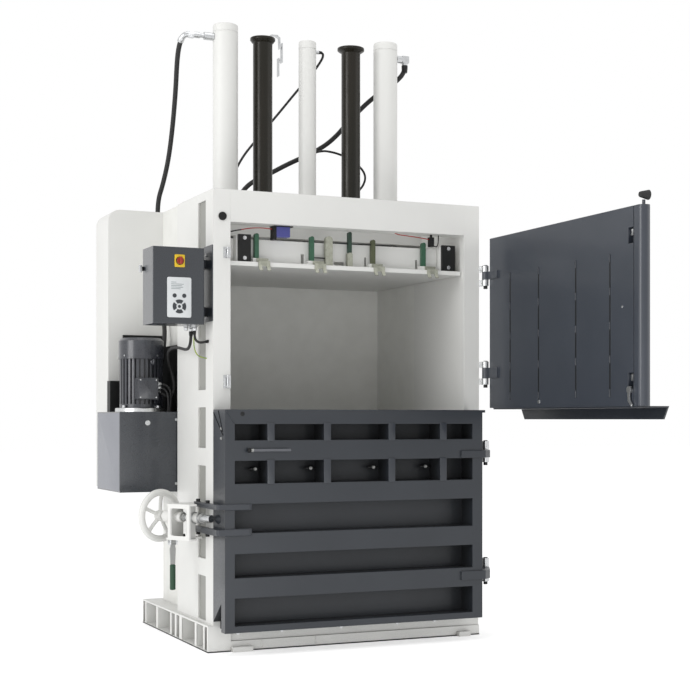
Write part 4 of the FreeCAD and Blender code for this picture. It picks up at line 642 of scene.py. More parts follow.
# The same powder on the base, with painted shade that darkens the hollows between the ribs.
BASE_PAINT = Finish("base_paint_shaded_hollows", Slot.PAINT_WHITE, "#e6e6e3", "#dadad7", 180, 0.6, 0.5,
                    0.06, grain_mm=6, grain=0.8, edge_mm=3.0, painted_shade=0.8)
# Grey sheets that close the side frames' windows from inside, their grey a painted shade of the
# openings' insides.
WINDOW_SHADE_GREY = Finish("window_painted_shade", Slot.PAINT_WHITE, "#94948f", "#878782", 150, 0.5, 0.5, 0.06,
                grain_mm=6, grain=0.6, edge_mm=1.0)
# The same powder inside the press, rubbed dull and a little grey by the loads.
CHAMBER_PAINT = Finish("worn_chamber_paint", Slot.PAINT_WHITE, "#e6e6e2", "#dadad5", 90, 0.5,
                       0.5, 0.08, grain_mm=9, grain=1.0, edge_mm=2.0)
# Bare floor plate of the chamber: scuffed grey with darker patches.
FLOOR_STEEL = Finish("worn_floor_steel", Slot.PAINT_GREY, "#8d8f8e", "#6f7170", 160, 0.7, 0.5,
                     0.1, grain_mm=9, grain=1.2, edge_mm=2.0)
# Anthracite structure paint on the doors and boxes: fine-grained, satin, slightly blue.
ANTHRACITE = Finish("anthracite_structure_paint", Slot.PAINT_ANTHRACITE, "#22272f", "#2a2f37",
                    220, 0.6, 0.36, 0.07, grain_mm=5, grain=1.0, edge_mm=3.5, coat=0.25)
# The same paint on the upper door, made lighter as painted light on its lit face.
# Painted light: a lighter copy of the anthracite paint.
LIT_DOOR_PAINT = Finish("structure_paint_painted_light", Slot.PAINT_ANTHRACITE, "#31363f", "#393e47",
                       220, 0.6, 0.36, 0.07, grain_mm=5, grain=1.0, edge_mm=3.5, coat=0.25)
# The same paint on the lower door, with painted shade that darkens its pockets nearly to black.
RIB_PAINT = Finish("ribbed_door_paint", Slot.PAINT_ANTHRACITE, "#20252c", "#282d34", 220, 0.6,
                   0.36, 0.07, grain_mm=5, grain=1.0, edge_mm=4.0, coat=0.15, painted_shade=0.85,
                   shade_colour="#05070a", hollow_mm=260)
# The same paint on the boxes, smoother, so that lamps show in it as soft streaks.
BOX_PAINT = Finish("glossier_box_paint", Slot.PAINT_ANTHRACITE, "#20252c", "#272c33", 220, 0.6,
                   0.3, 0.06, grain_mm=5, grain=0.8, edge_mm=3.0, coat=0.6)
# Darker and flatter paint of the skirt.
SKIRT_PAINT = Finish("dark_skirt_paint", Slot.SKIRT_DARK, "#20242b", "#282c33", 200, 0.6, 0.36,
                     0.07, grain_mm=5, grain=1.0, edge_mm=2.5, coat=0.2)
# Light grey panel on the cabinet's left side, painted light for the brightness of that lit face.
LIT_SIDE_GREY = Finish("cabinet_side_painted_light", Slot.PAINT_ANTHRACITE, "#7e8087", "#898b92", 180,
                    0.6, 0.4, 0.06, grain_mm=5, grain=0.8, edge_mm=1.5)
# Hot-dip galvanised sheet: dull grey with large pale spangles.
GALVANISED = Finish("galvanised_sheet", Slot.BRIGHT_STEEL, "#aaab9e", "#8b8d80", 14, 0.9, 0.42,
                    0.1, metallic=0.7, grain_mm=4, grain=0.6, edge_mm=1.0)
# Bare cast aluminium of the motor's flange, turned bright on its rim.
ALUMINIUM = Finish("turned_aluminium", Slot.BRIGHT_STEEL, "#d4d5d5", "#bfc1c2", 25, 0.5, 0.28,
                   0.08, metallic=1.0, grain_mm=3, grain=0.5, edge_mm=0.8)
# Moulded slide plastics, here and below: dull and faintly cloudy.
OLIVE_PLASTIC = Finish("olive_slide_plastic", Slot.GREEN_PLASTIC, "#474c33", "#565b40", 20, 0.6,
                       0.5, 0.06, grain_mm=3, grain=0.5, edge_mm=1.0)
DARK_GREEN = Finish("dark_green_slide_plastic", Slot.GREEN_PLASTIC, "#1d3529", "#284536", 20,
                    0.6, 0.5, 0.06, grain_mm=3, grain=0.5, edge_mm=1.0)
# Zinc-plated steel: bright, a little uneven where the plating took differently.
ZINC = Finish("zinc_plated_steel", Slot.BRIGHT_STEEL, "#c9cacb", "#a9acae", 18, 0.6, 0.3, 0.1,
              metallic=1.0, grain_mm=2.5, grain=0.6, edge_mm=0.8)
# Oil-blackened steel: nearly black, with a dull gleam.
BLACK_STEEL = Finish("blackened_steel", Slot.BLACK_STEEL, "#1d1e1f", "#2c2c2c", 30, 0.6, 0.35,
                     0.1, metallic=0.6, grain_mm=3, grain=0.8, edge_mm=0.8)
# Ground and hard-chromed rods: bright as a mirror, with faint marks along them.
CHROME = Finish("hard_chromed_rod", Slot.CHROMED_ROD, "#d9dadb", "#c8c9ca", 60, 0.4, 0.12, 0.03,
                metallic=1.0, grain_mm=4, grain=0.1, edge_mm=0.5, streak=4.0)
# Guide rods: drawn steel under a film of oil, dark olive to brown with long streaks.
OILED_STEEL = Finish("oiled_guide_steel", Slot.GUIDE_DARK, "#14130a", "#1f1a12", 90, 0.9, 0.3,
                     0.08, metallic=0.2, grain_mm=7, grain=0.4, edge_mm=1.0, ior=1.4, streak=12.0)
# Moulded black plastic with a fine, matt grain.
BLACK_PLASTIC = Finish("black_moulded_plastic", Slot.BLACK_PLASTIC, "#0f1010", "#171818", 25,
                       0.5, 0.5, 0.08, grain_mm=2.5, grain=0.8, edge_mm=1.0, ior=1.36)
# Membrane film and its prints: smooth, cool white, grey lines and dark keys.
WHITE_PLASTIC = Finish("white_membrane_film", Slot.WHITE_PLASTIC, "#d2d5d6", "#c8cbcd", 30, 0.4,
                       0.35, 0.05, grain_mm=3, grain=0.3, edge_mm=0.6)
GREY_FILM = Finish("grey_display_film", Slot.WHITE_PLASTIC, "#7f8a8c", "#6f7a7c", 20, 0.5, 0.25,
                   0.05, grain_mm=3, grain=0.2, edge_mm=0.4)
DARK_KEY = Finish("dark_key_print", Slot.WHITE_PLASTIC, "#2b2f33", "#3a3e42", 12, 0.4, 0.35,
                  0.05, grain_mm=2, grain=0.2, edge_mm=0.4)
# Moulded plate and knob of the switch: even colours with a soft shine.
YELLOW_PLASTIC = Finish("yellow_switch_plate", Slot.YELLOW_PLASTIC, "#dcb81c", "#cfaa18", 20,
                        0.4, 0.35, 0.05, grain_mm=2.5, grain=0.3, edge_mm=0.6)
RED_PLASTIC = Finish("red_switch_knob", Slot.RED_PLASTIC, "#98281a", "#842014", 15, 0.5, 0.35,
                     0.05, grain_mm=2.5, grain=0.3, edge_mm=1.2)
GREEN_PLASTIC = Finish("green_slide_plastic", Slot.GREEN_PLASTIC, "#27523c", "#336048", 20, 0.6,
                       0.5, 0.06, grain_mm=3, grain=0.5, edge_mm=1.0)
# Dipped rubber grip, dull and dark green.
GREEN_RUBBER = Finish("green_grip_rubber", Slot.GREEN_GRIP, "#20452f", "#1a3827", 15, 0.5, 0.6,
                      0.08, grain_mm=2.5, grain=1.0, edge_mm=1.5)
# Moulded blue-violet housing with a soft shine.
VIOLET_PLASTIC = Finish("violet_sensor_housing", Slot.SENSOR_BLUE, "#44478c", "#383b78", 12, 0.5,
                        0.4, 0.05, grain_mm=2.5, grain=0.4, edge_mm=1.0)
# Extruded rubber of hoses and cables: black and matt.
RUBBER = Finish("hose_rubber", Slot.HOSE_RUBBER, "#101112", "#1a1b1c", 14, 0.5, 0.55, 0.08,
                grain_mm=2.5, grain=1.2, edge_mm=0.5, ior=1.38)
# Sprayed paint on cast iron: an uneven skin with a glossy coat.
MOTOR_GREY = Finish("cast_motor_paint", Slot.MOTOR_GREY, "#2f3137", "#3b3e45", 40, 0.7, 0.3,
                    0.08, grain_mm=3.5, grain=1.0, edge_mm=1.5, coat=0.4)
# Dull plated steel of the small levers and rods: grey, without the bright plating's shine.
DULL_STEEL = Finish("dull_plated_steel", Slot.BRIGHT_STEEL, "#9c9d9b", "#8a8b8a", 60, 0.5, 0.45,
                    0.06, metallic=0.5, grain_mm=3, grain=0.4, edge_mm=1.2)
# Steel bar under thin grey lacquer.
DARK_STEEL = Finish("dark_lacquered_steel", Slot.BRIGHT_STEEL, "#5b5d62", "#66686d", 40, 0.5,
                    0.4, 0.06, metallic=0.3, grain_mm=3, grain=0.5, edge_mm=1.0)
# Wire sheaths.  The earth wire's two colours run together, as its stripes are too fine.
GREEN_YELLOW = Finish("earth_wire_sheath", Slot.HOSE_RUBBER, "#9aa62e", "#3f7a34", 12, 0.9, 0.45,
                      0.05, grain_mm=2.5, grain=0.3, edge_mm=0.4)
RED_WIRE = Finish("red_wire_sheath", Slot.HOSE_RUBBER, "#a3201b", "#8d1a16", 12, 0.5, 0.4, 0.05,
                  grain_mm=2.5, grain=0.3, edge_mm=0.4)

NODE_FINISHES = {
    BASE_PAINT: ("base_frame",),
    WHITE_PAINT: ("left_side_frame", "right_side_frame", "front_lintel",
                  "crosshead", "cylinder_barrels", "lock_bracket", "rear_housing", "platen",
                  "handwheel"),
    GALVANISED: ("strap_clips",),
    CHAMBER_PAINT: ("chamber_walls",),
    FLOOR_STEEL: ("chamber_floor",),
    ANTHRACITE: ("lock_arms", "box_bracket"),
    BOX_PAINT: ("control_box", "tank_cabinet", "cabinet_cover", "control_box_door"),
    LIT_DOOR_PAINT: ("upper_door",),
    RIB_PAINT: ("lower_door",),
    SKIRT_PAINT: ("door_skirt",),
    DULL_STEEL: ("release_lever",),
    ZINC: ("guide_bushes", "hydraulic_fittings", "door_catches", "hinge_brackets",
           "lever_pivot", "cable_glands", "frame_screws", "trip_strip",
           "lower_door_fittings", "door_lever", "lock_bolt", "box_latch",
           "cabinet_lock"),
    BLACK_STEEL: ("hinge_pins", "oil_unit"),
    CHROME: ("piston_rods",),
    OILED_STEEL: ("guide_rods",),
    BLACK_PLASTIC: ("lintel_plug", "guide_blocks", "oil_filter", "motor_fan"),
    WHITE_PLASTIC: ("keypad",),
    YELLOW_PLASTIC: ("switch_plate",),
    RED_PLASTIC: ("main_switch",),
    GREEN_PLASTIC: ("strap_guides",),
    GREEN_RUBBER: ("lever_grip",),
    VIOLET_PLASTIC: ("lintel_sensor",),
    RUBBER: ("door_buffer", "left_hose", "middle_hose", "right_hose", "motor_cable",
             "pump_hose"),
    MOTOR_GREY: ("finned_motor", "terminal_box", "fan_cowl"),
}


def dress_nodes() -> None:
    """Give every carried-over node its finish."""
    for finish, names in NODE_FINISHES.items():
        for name in names:
            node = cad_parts[name]
            node.data.materials.clear()
            node.data.materials.append(finish.material())


def piece(name: str, shells: Shell | Sequence[Shell], body: Body, finish: Finish,
          replaces: Sequence[str] = (), slot: Slot | None = None, sharp_deg: float = 35.0,
          bevel_mm: float = 0.0) -> bpy.types.Object:
    """Make a mesh object from shells in millimetres and let it ride on a body.

    Args:
        name: Object name.
        shells: The surface or surfaces, in millimetres in the machine's frame.
        body: Body that it moves with.
        finish: Its finish.
        replaces: Nodes that it stands for.
        slot: Its material slot, where it isn't the finish's own; not used.
        sharp_deg: Edges that turn more than this stay sharp.
        bevel_mm: Width of a bevel on the sharp edges, or 0.

    Returns:
        The new object.
    """
    shell = shells if isinstance(shells, Shell) else merged(shells)
    mesh = bpy.data.meshes.new(name)
    mesh.from_pydata((shell.points * MM).tolist(), [], shell.faces)
    mesh.update()
    mesh.shade_smooth()
    mesh.set_sharp_from_angle(angle=math.radians(sharp_deg))
    mesh.materials.append(finish.material())
    item = bpy.data.objects.new(name, mesh)
    bpy.context.scene.collection.objects.link(item)
    if bevel_mm:
        bevel = item.modifiers.new("edge", "BEVEL")
        bevel.width = bevel_mm * MM
        bevel.segments = 2
        bevel.limit_method = "ANGLE"
        bevel.angle_limit = math.radians(sharp_deg)
    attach(item, body.value)
    if replaces:
        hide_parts(*replaces)
    LOG.info("piece %s: %d faces on %s", name, len(shell.faces), body.value)
    return item


@dataclass
class Assembly:
    """A sub-assembly whose pieces ride on its own body unless another one is named."""

    body: ClassVar[Body] = Body.FRAME

    def build(self) -> None:
        """Make the sub-assembly's pieces."""
        raise NotImplementedError

    def add(self, name: str, shells: Shell | Sequence[Shell], finish: Finish,
            body: Body | None = None, **options: object) -> None:
        """One piece on the named body, with piece's other options."""
        piece(name, shells, body or self.body, finish, **options)

    def add_welds(self, name: str, beads: Sequence[Shell], finish: Finish) -> None:
        """Weld beads, whose ripples are shaded smoothly."""
        self.add(name, beads, finish, sharp_deg=60)


# ---------------------------------------------------------------------------- studio

@dataclass
class Camera:
    """The photograph's viewpoint: level, to the left of the front.

    Attributes:
        place: Camera position in metres.
        azimuth_deg: Heading, turned to the left of straight on.
        lens_mm: Focal length.
        sensor_mm: Width of the sensor.
        shift: Horizontal and vertical lens shift that frame the machine as photographed.
        clip: Nearest and farthest distance seen, in metres.
    """

    place: tuple = (-2.6947, -6.9858, 1.0517)
    azimuth_deg: float = -25.39
    lens_mm: float = 77.48
    sensor_mm: float = 36.0
    shift: tuple = (-0.1087, 0.1072)
    clip: tuple = (0.1, 60.0)

    def build(self) -> None:
        """Make the camera and let the scene use it."""
        data = bpy.data.cameras.new("camera")
        data.lens, data.sensor_width = self.lens_mm, self.sensor_mm
        data.shift_x, data.shift_y = self.shift
        data.clip_start, data.clip_end = self.clip
        camera = bpy.data.objects.new("camera", data)
        camera.location = self.place
        camera.rotation_euler = (math.radians(90), 0.0, math.radians(self.azimuth_deg))
        bpy.context.scene.collection.objects.link(camera)
        bpy.context.scene.camera = camera


@dataclass(frozen=True)
class Lamp:
    """Square soft lamp.

    Attributes:
        name: Lamp name.
        power: Power in watts.
        place: Position in metres.
        side: Side of the square in metres.
    """

    name: str
    power: float
    place: tuple
    side: float

    def hang(self, target: Sequence[float]) -> None:
        """Make the lamp and turn it to the target.

        Args:
            target: Point that it faces, in metres.
        """
        data = bpy.data.lights.new(self.name, "AREA")
        data.energy, data.size = self.power, self.side
        lamp = bpy.data.objects.new(self.name, data)
        lamp.location = self.place
        matrix = basis(np.array(self.place) - np.array(target))
        lamp.rotation_euler = (math.acos(matrix[2, 2]), 0.0,
                               math.atan2(matrix[0, 2], -matrix[1, 2]))
        bpy.context.scene.collection.objects.link(lamp)


@dataclass
class Studio:
    """White floor and sky with soft lamps.

    Attributes:
        lamps: Key lamp at the front left, lamp overhead, fill at the right, lamp at the floor.
        target: Point that the lamps face, the machine's middle, in metres.
        ambient: Strength of the even light from the sky.
        floor_half: Half the floor's side, in metres.
        floor_colour: How much light the floor throws back.
        floor_glow: Strength of the even light that the floor adds to the machine.
        floor_white: Strength that makes the floor white where it is seen.
    """

    lamps: tuple = (Lamp("key_lamp", 240.0, (-8.0, -2.4, 3.2), 4.0),
                    Lamp("top_lamp", 95.0, (-0.5, -2.0, 7.0), 5.0),
                    Lamp("fill_lamp", 40.0, (6.5, -4.5, 3.0), 4.0),
                    Lamp("low_lamp", 18.0, (-0.8, -3.4, 0.2), 1.6))
    target: tuple = (0.0, 0.0, 1.4)
    ambient: float = 0.6
    floor_half: float = 40.0
    floor_colour: float = 0.86
    floor_glow: float = 0.36
    floor_white: float = 0.52

    def build(self) -> None:
        """Make the world, the lamps and the floor."""
        self.light_world()
        for lamp in self.lamps:
            lamp.hang(self.target)
        self.lay_floor()
        bpy.context.scene.view_settings.view_transform = "Standard"

    def seen_directly(self, tree: bpy.types.NodeTree) -> bpy.types.NodeSocket:
        """Factor that is 1 for rays from the eye, from gloss and from clear pieces.

        Args:
            tree: Node tree that it is added to.

        Returns:
            The factor's socket.
        """
        path = add_node(tree, "ShaderNodeLightPath")
        seen = path.outputs["Is Camera Ray"]
        for ray in ("Is Glossy Ray", "Is Transmission Ray"):
            either = add_node(tree, "ShaderNodeMath", {"operation": "MAXIMUM"})
            tree.links.new(seen, either.inputs[0])
            tree.links.new(path.outputs[ray], either.inputs[1])
            seen = either.outputs[0]
        return seen

    def light_world(self) -> None:
        """Sky that looks white and lights the object evenly."""
        world = bpy.data.worlds.new("studio")
        world.use_nodes = True
        tree = world.node_tree
        tree.nodes.clear()
        strength = add_node(tree, "ShaderNodeMapRange", {"To Min": self.ambient, "To Max": 1.0},
                            {"Value": self.seen_directly(tree)})
        sky = add_node(tree, "ShaderNodeBackground", {"Color": (1.0, 1.0, 1.0, 1.0)},
                       {"Strength": strength.outputs["Result"]})
        add_node(tree, "ShaderNodeOutputWorld", links={"Surface": sky.outputs["Background"]})
        bpy.context.scene.world = world

    def glowing(self, tree: bpy.types.NodeTree, plain: bpy.types.Node,
                strength: float) -> bpy.types.NodeSocket:
        """The plain floor with an even glow of the given strength.

        Args:
            tree: The floor's node tree.
            plain: Its unlit surface.
            strength: Strength of the glow.

        Returns:
            The sum's socket.
        """
        glow = add_node(tree, "ShaderNodeEmission", {"Strength": strength})
        both = add_node(tree, "ShaderNodeAddShader")
        tree.links.new(plain.outputs[0], both.inputs[0])
        tree.links.new(glow.outputs[0], both.inputs[1])
        return both.outputs[0]

    def lay_floor(self) -> None:
        """White floor that keeps the machine's soft shadow."""
        half = self.floor_half
        mesh = bpy.data.meshes.new("floor")
        mesh.from_pydata([(-half, -half, 0.0), (half, -half, 0.0), (half, half, 0.0),
                          (-half, half, 0.0)], [], [(0, 1, 2, 3)])
        material = bpy.data.materials.new("white_floor")
        material.use_nodes = True
        tree = material.node_tree
        tree.nodes.clear()
        plain = add_node(tree, "ShaderNodeBsdfDiffuse", {"Color": (*[self.floor_colour] * 3, 1.0)})
        pick = add_node(tree, "ShaderNodeMixShader", links={"Fac": self.seen_directly(tree)})
        tree.links.new(self.glowing(tree, plain, self.floor_glow), pick.inputs[1])
        tree.links.new(self.glowing(tree, plain, self.floor_white), pick.inputs[2])
        add_node(tree, "ShaderNodeOutputMaterial", links={"Surface": pick.outputs[0]})
        mesh.materials.append(material)
        floor = bpy.data.objects.new("floor", mesh)
        bpy.context.scene.collection.objects.link(floor)


# ---------------------------------------------------------------------------- hoses

@dataclass(frozen=True)
class Hose:
    """One flexible line between two fixed ends.

    Attributes:
        name: Node name.
        route: Given points in millimetres.
        diameter: Outside diameter in millimetres.
        length: Length along the line in millimetres.
        stiffness: How it bends; not used.
        finish: Its sheath.
        stands_for: Whether it takes the place of the node of its name.
    """

    name: str
    route: tuple
    diameter: float
    length: float
    stiffness: Stiffness = Stiffness.MEDIUM
    finish: Finish = RUBBER
    stands_for: bool = True


@dataclass
class Hoses(Assembly):
    """Pressure hoses on the press and cables on the left side.

    Attributes:
        lines: The hoses, cables and wires, the hose with the elbow first.
        elbow_controls: How many of that hose's points the steel elbow follows.
        elbow_steps: Steps along them, and how many of these the elbow keeps.
        elbow_radius: Radii of the elbow and of the collar at its end.
        elbow_nuts: Foot, width across the flats and height of the nuts on the elbow.
        sleeved_from: Diameter from which a line has sleeves at its ends.
        steel_above: Diameter above which these sleeves are steel.
    """

    lines: tuple = (
        Hose("left_hose", ((-596, 15, 2922), (-618, 15, 2922), (-637, 24, 2914),
                           (-648, 44, 2893), (-650, 76, 2858), (-642, 130, 2800),
                           (-622, 220, 2690), (-606, 330, 2530), (-604, 410, 2380),
                           (-614, 480, 2260), (-628, 530, 2180), (-628, 530, 2116)), 24, 1006),
        Hose("middle_hose", ((60, 15, 2904), (76, 15, 2904), (90, 24, 2899), (94, 50, 2880),
                             (66, 104, 2822), (5, 160, 2740), (-80, 220, 2620),
                             (-168, 290, 2500), (-240, 370, 2390), (-284, 415, 2250),
                             (-290, 420, 2160), (-290, 420, 2089)), 12, 1053),
        Hose("right_hose", ((539.5, 15, 2886), (539.5, 15, 2852), (512, 52, 2810),
                            (452, 100, 2764), (380, 150, 2700), (300, 180, 2610),
                            (210, 205, 2500), (110, 235, 2432), (0, 262, 2380),
                            (-110, 300, 2316), (-200, 345, 2270), (-250, 375, 2190),
                            (-250, 375, 2089)), 24, 1246),
        Hose("motor_cable", ((-742, -445, 1449), (-742, -445, 1412), (-742, -424, 1382),
                             (-740, -384, 1370), (-735, -310, 1374), (-726, -170, 1390),
                             (-716, -20, 1392), (-702, 80, 1372), (-680, 140, 1330),
                             (-656, 174, 1284), (-646, 168, 1236), (-649, 150, 1195),
                             (-664, 136, 1170), (-690, 125, 1160), (-715, 119.5, 1172),
                             (-730, 119, 1185), (-746, 119, 1185)), 14, 933),
        Hose("pump_hose", ((-682, 380, 1086), (-682, 380, 1150), (-670, 350, 1270),
                           (-652, 330, 1400), (-640, 350, 1510), (-642, 400, 1600),
                           (-664, 446, 1640), (-664, 496, 1640)), 22, 646),
        Hose("sensor_cable", ((44, 15, 2400), (60, 22, 2403), (90, 45, 2412), (125, 70, 2420),
                              (199, 85, 2414), (260, 90, 2392), (305, 80, 2363),
                              (335, 75, 2330), (343, 70, 2296), (330, 70, 2258),
                              (305, 70, 2229), (275, 80, 2180), (262, 85, 2130),
                              (260, 85, 2089)), 11, 600, stands_for=False),
        Hose("box_cable", ((-742, -500, 1449), (-742, -500, 1425), (-735, -498, 1405),
                           (-715, -495, 1396), (-694, -492, 1400), (-673.5, -490, 1404)), 11,
             108, stands_for=False),
        Hose("earth_wire", ((-742, -500, 1449), (-744, -498, 1425), (-743, -492, 1395),
                            (-738, -484, 1368), (-724, -474, 1344), (-704, -465, 1332),
                            (-673.5, -462, 1328)), 5, 167, Stiffness.LIMP, GREEN_YELLOW, False),
        Hose("fan_cable", ((-746, 108, 1222), (-724, 108, 1222), (-700, 106, 1216),
                           (-684, 104, 1196), (-678, 106, 1160), (-678, 118, 1120),
                           (-678, 130, 1086)), 9, 185, stands_for=False),
        Hose("heater_cable", ((-746, 108, 1204), (-728, 108, 1204), (-708, 104, 1196),
                              (-696, 98, 1172), (-694, 96, 1130), (-694, 100, 1086)), 9, 152,
             stands_for=False),
        Hose("sensor_wire", ((-372, -500, 1928), (-400, -503, 1930), (-440, -505, 1930),
                             (-485, -505, 1926), (-524, -505, 1917)), 4.5, 153,
             Stiffness.LIMP, RED_WIRE, False),
        Hose("sensor_tail", ((-524, -505, 1917), (-545, -505, 1913), (-569, -503, 1907),
                             (-592, -500, 1904)), 6, 70, Stiffness.LIMP, stands_for=False),
        Hose("socket_wire", ((250, -500, 1943), (262, -502, 1937), (290, -505, 1934),
                             (328, -507, 1931), (375, -508, 1927), (427, -508, 1921)), 4.5, 180,
             Stiffness.LIMP, RED_WIRE, False),
        Hose("socket_tail", ((450, -508, 1893), (458, -508, 1889), (468, -508, 1886),
                             (476, -507, 1896), (480, -505, 1915), (481, -503, 1943)), 5, 80,
             Stiffness.LIMP, stands_for=False),
    )
    elbow_controls: int = 5
    elbow_steps: tuple = (28, 22)
    elbow_radius: tuple = (14.0, 16.0)
    elbow_nuts: tuple = (((-592, 15, 2922), 34, 22), ((-612, 16.5, 2921), 30, 9))
    sleeved_from: float = 10
    steel_above: float = 20

    def build(self) -> None:
        """Make each line as a smooth curve, its sleeves and the elbow."""
        for line in self.lines:
            self.lay(line)
            if line is not self.lines[0] and line.diameter >= self.sleeved_from:
                self.relieve(line, "start", *line.route[:2])
                self.relieve(line, "end", *line.route[:-3:-1])
        steps, kept = self.elbow_steps
        bend = curve_points(self.lines[0].route[:self.elbow_controls], steps)[:kept]
        width = np.full(kept, self.elbow_radius[0])
        width[-4:] = self.elbow_radius[1]
        nuts = [hex_bolt(foot, LEFT, across, high) for foot, across, high in self.elbow_nuts]
        self.add("hose_elbow", [swept(bend, width, 24), *nuts], ZINC)

    def lay(self, line: Hose) -> None:
        """One line: a NURBS curve of order 3 drawn by its control points.

        Args:
            line: The line.
        """
        data = bpy.data.curves.new(line.name + "_line", "CURVE")
        data.dimensions = "3D"
        data.bevel_depth = line.diameter / 2 * MM
        data.bevel_resolution = 6
        data.resolution_u = 16
        data.use_fill_caps = True
        spline = data.splines.new("NURBS")
        spline.points.add(len(line.route) - 1)
        for point, place in zip(spline.points, line.route):
            point.co = (*(c * MM for c in place), 1.0)
        spline.order_u = 3
        spline.use_endpoint_u = True
        data.materials.append(line.finish.material())
        item = bpy.data.objects.new(line.name + "_line", data)
        bpy.context.scene.collection.objects.link(item)
        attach(item, self.body.value)
        if line.stands_for:
            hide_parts(line.name)
        LOG.info("line %s: %.0f mm long on %s", line.name, line.length, self.body.value)

    def relieve(self, line: Hose, end: str, near: Sequence[float], far: Sequence[float]) -> None:
        """Tapered sleeve where a line meets what it is fixed to.

        Args:
            line: The line.
            end: Word for the end, used in the name.
            near: The line's end.
            far: The line's next point.
        """
        radius, reach = line.diameter / 2, 1.6 * line.diameter
        shape = [(radius * 1.3, 0.3), (radius * 1.36, 1.5), (radius * 1.34, reach * 0.4),
                 (radius * 1.16, reach * 0.9), (radius * 1.04, reach)]
        self.add(f"{line.name}_{end}_sleeve", lathe(shape, near, np.subtract(far, near), 28),
                 BLACK_STEEL if line.diameter > self.steel_above else BLACK_PLASTIC,
                 slot=Slot.BLACK_STEEL)


# ---------------------------------------------------------------------------- press

@dataclass
class Press(Assembly):
    """Three cylinders with rods, and two guide rods that move with the platen.

    Attributes:
        line_y: Depth of the row of cylinders.
        foot: Height of the cylinders' feet.
        outer: Place, radius and top of the two large cylinders.
        middle: Place, radius and top of the small one.
        rim: Radius of the cylinders' rolled rims.
        groove: Depth of the groove and its upper edge's distance below the top.
        guides: Place and cap radius of the guide rods.
        guide_radius: Radius of the guide rods.
        cap: Foot and top of the guide rods' caps.
        platen_top: Height at which the guide rods start.
    """

    line_y: float = 15
    foot: float = 1955
    outer: tuple = (430, 61.5, 2987)
    middle: tuple = (0, 44, 2951)
    rim: float = 9
    groove: tuple = (1.5, 37)
    guides: tuple = ((-237, 62.0), (237, 68.5))
    guide_radius: float = 48
    cap: tuple = (2920, 2944)
    platen_top: float = 1895

    def build(self) -> None:
        """Make the turned tubes, rods and caps."""
        x, radius, top = self.outer
        barrels = [self.barrel(-x, radius, top), self.barrel(x, radius, top),
                   self.barrel(*self.middle)]
        self.add("turned_barrels", barrels, WHITE_PAINT, replaces=["cylinder_barrels"])
        self.add("turned_guides", [self.guide(x, cap) for x, cap in self.guides], OILED_STEEL,
                 Body.RAM, replaces=["guide_rods"])

    def barrel(self, x: float, radius: float, top: float) -> Shell:
        """Turned tube with a rolled rim at the top and a shallow groove below it.

        Args:
            x: Place across, of its middle.
            radius: Outside radius.
            top: Height of its top.

        Returns:
            The tube.
        """
        depth, drop = self.groove
        sides = [(radius - 1, self.foot), (radius, self.foot + 1), (radius, top - drop - 5),
                 (radius - depth, top - drop - 4), (radius - depth, top - drop - 1),
                 (radius, top - drop)]
        return lathe(sides + rolled_rim(radius, top, self.rim, 6) + [(radius - 22, top)],
                     (x, self.line_y, 0), UP, 72)

    def guide(self, x: float, cap: float) -> Shell:
        """Guide rod with its screwed-on cap.

        Args:
            x: Place across, of its middle.
            cap: The cap's radius.

        Returns:
            The rod.
        """
        low, top = self.cap
        outline = [(self.guide_radius, self.platen_top), (self.guide_radius, low - 5),
                   (self.guide_radius + 7, low), (cap - 4, low + 6), (cap, low + 10)]
        outline += rolled_rim(cap, top, 5, 5) + [(16, top), (15, top - 4)]
        return lathe(outline, (x, self.line_y, 0), UP, 72)


# ---------------------------------------------------------------------------- door lock

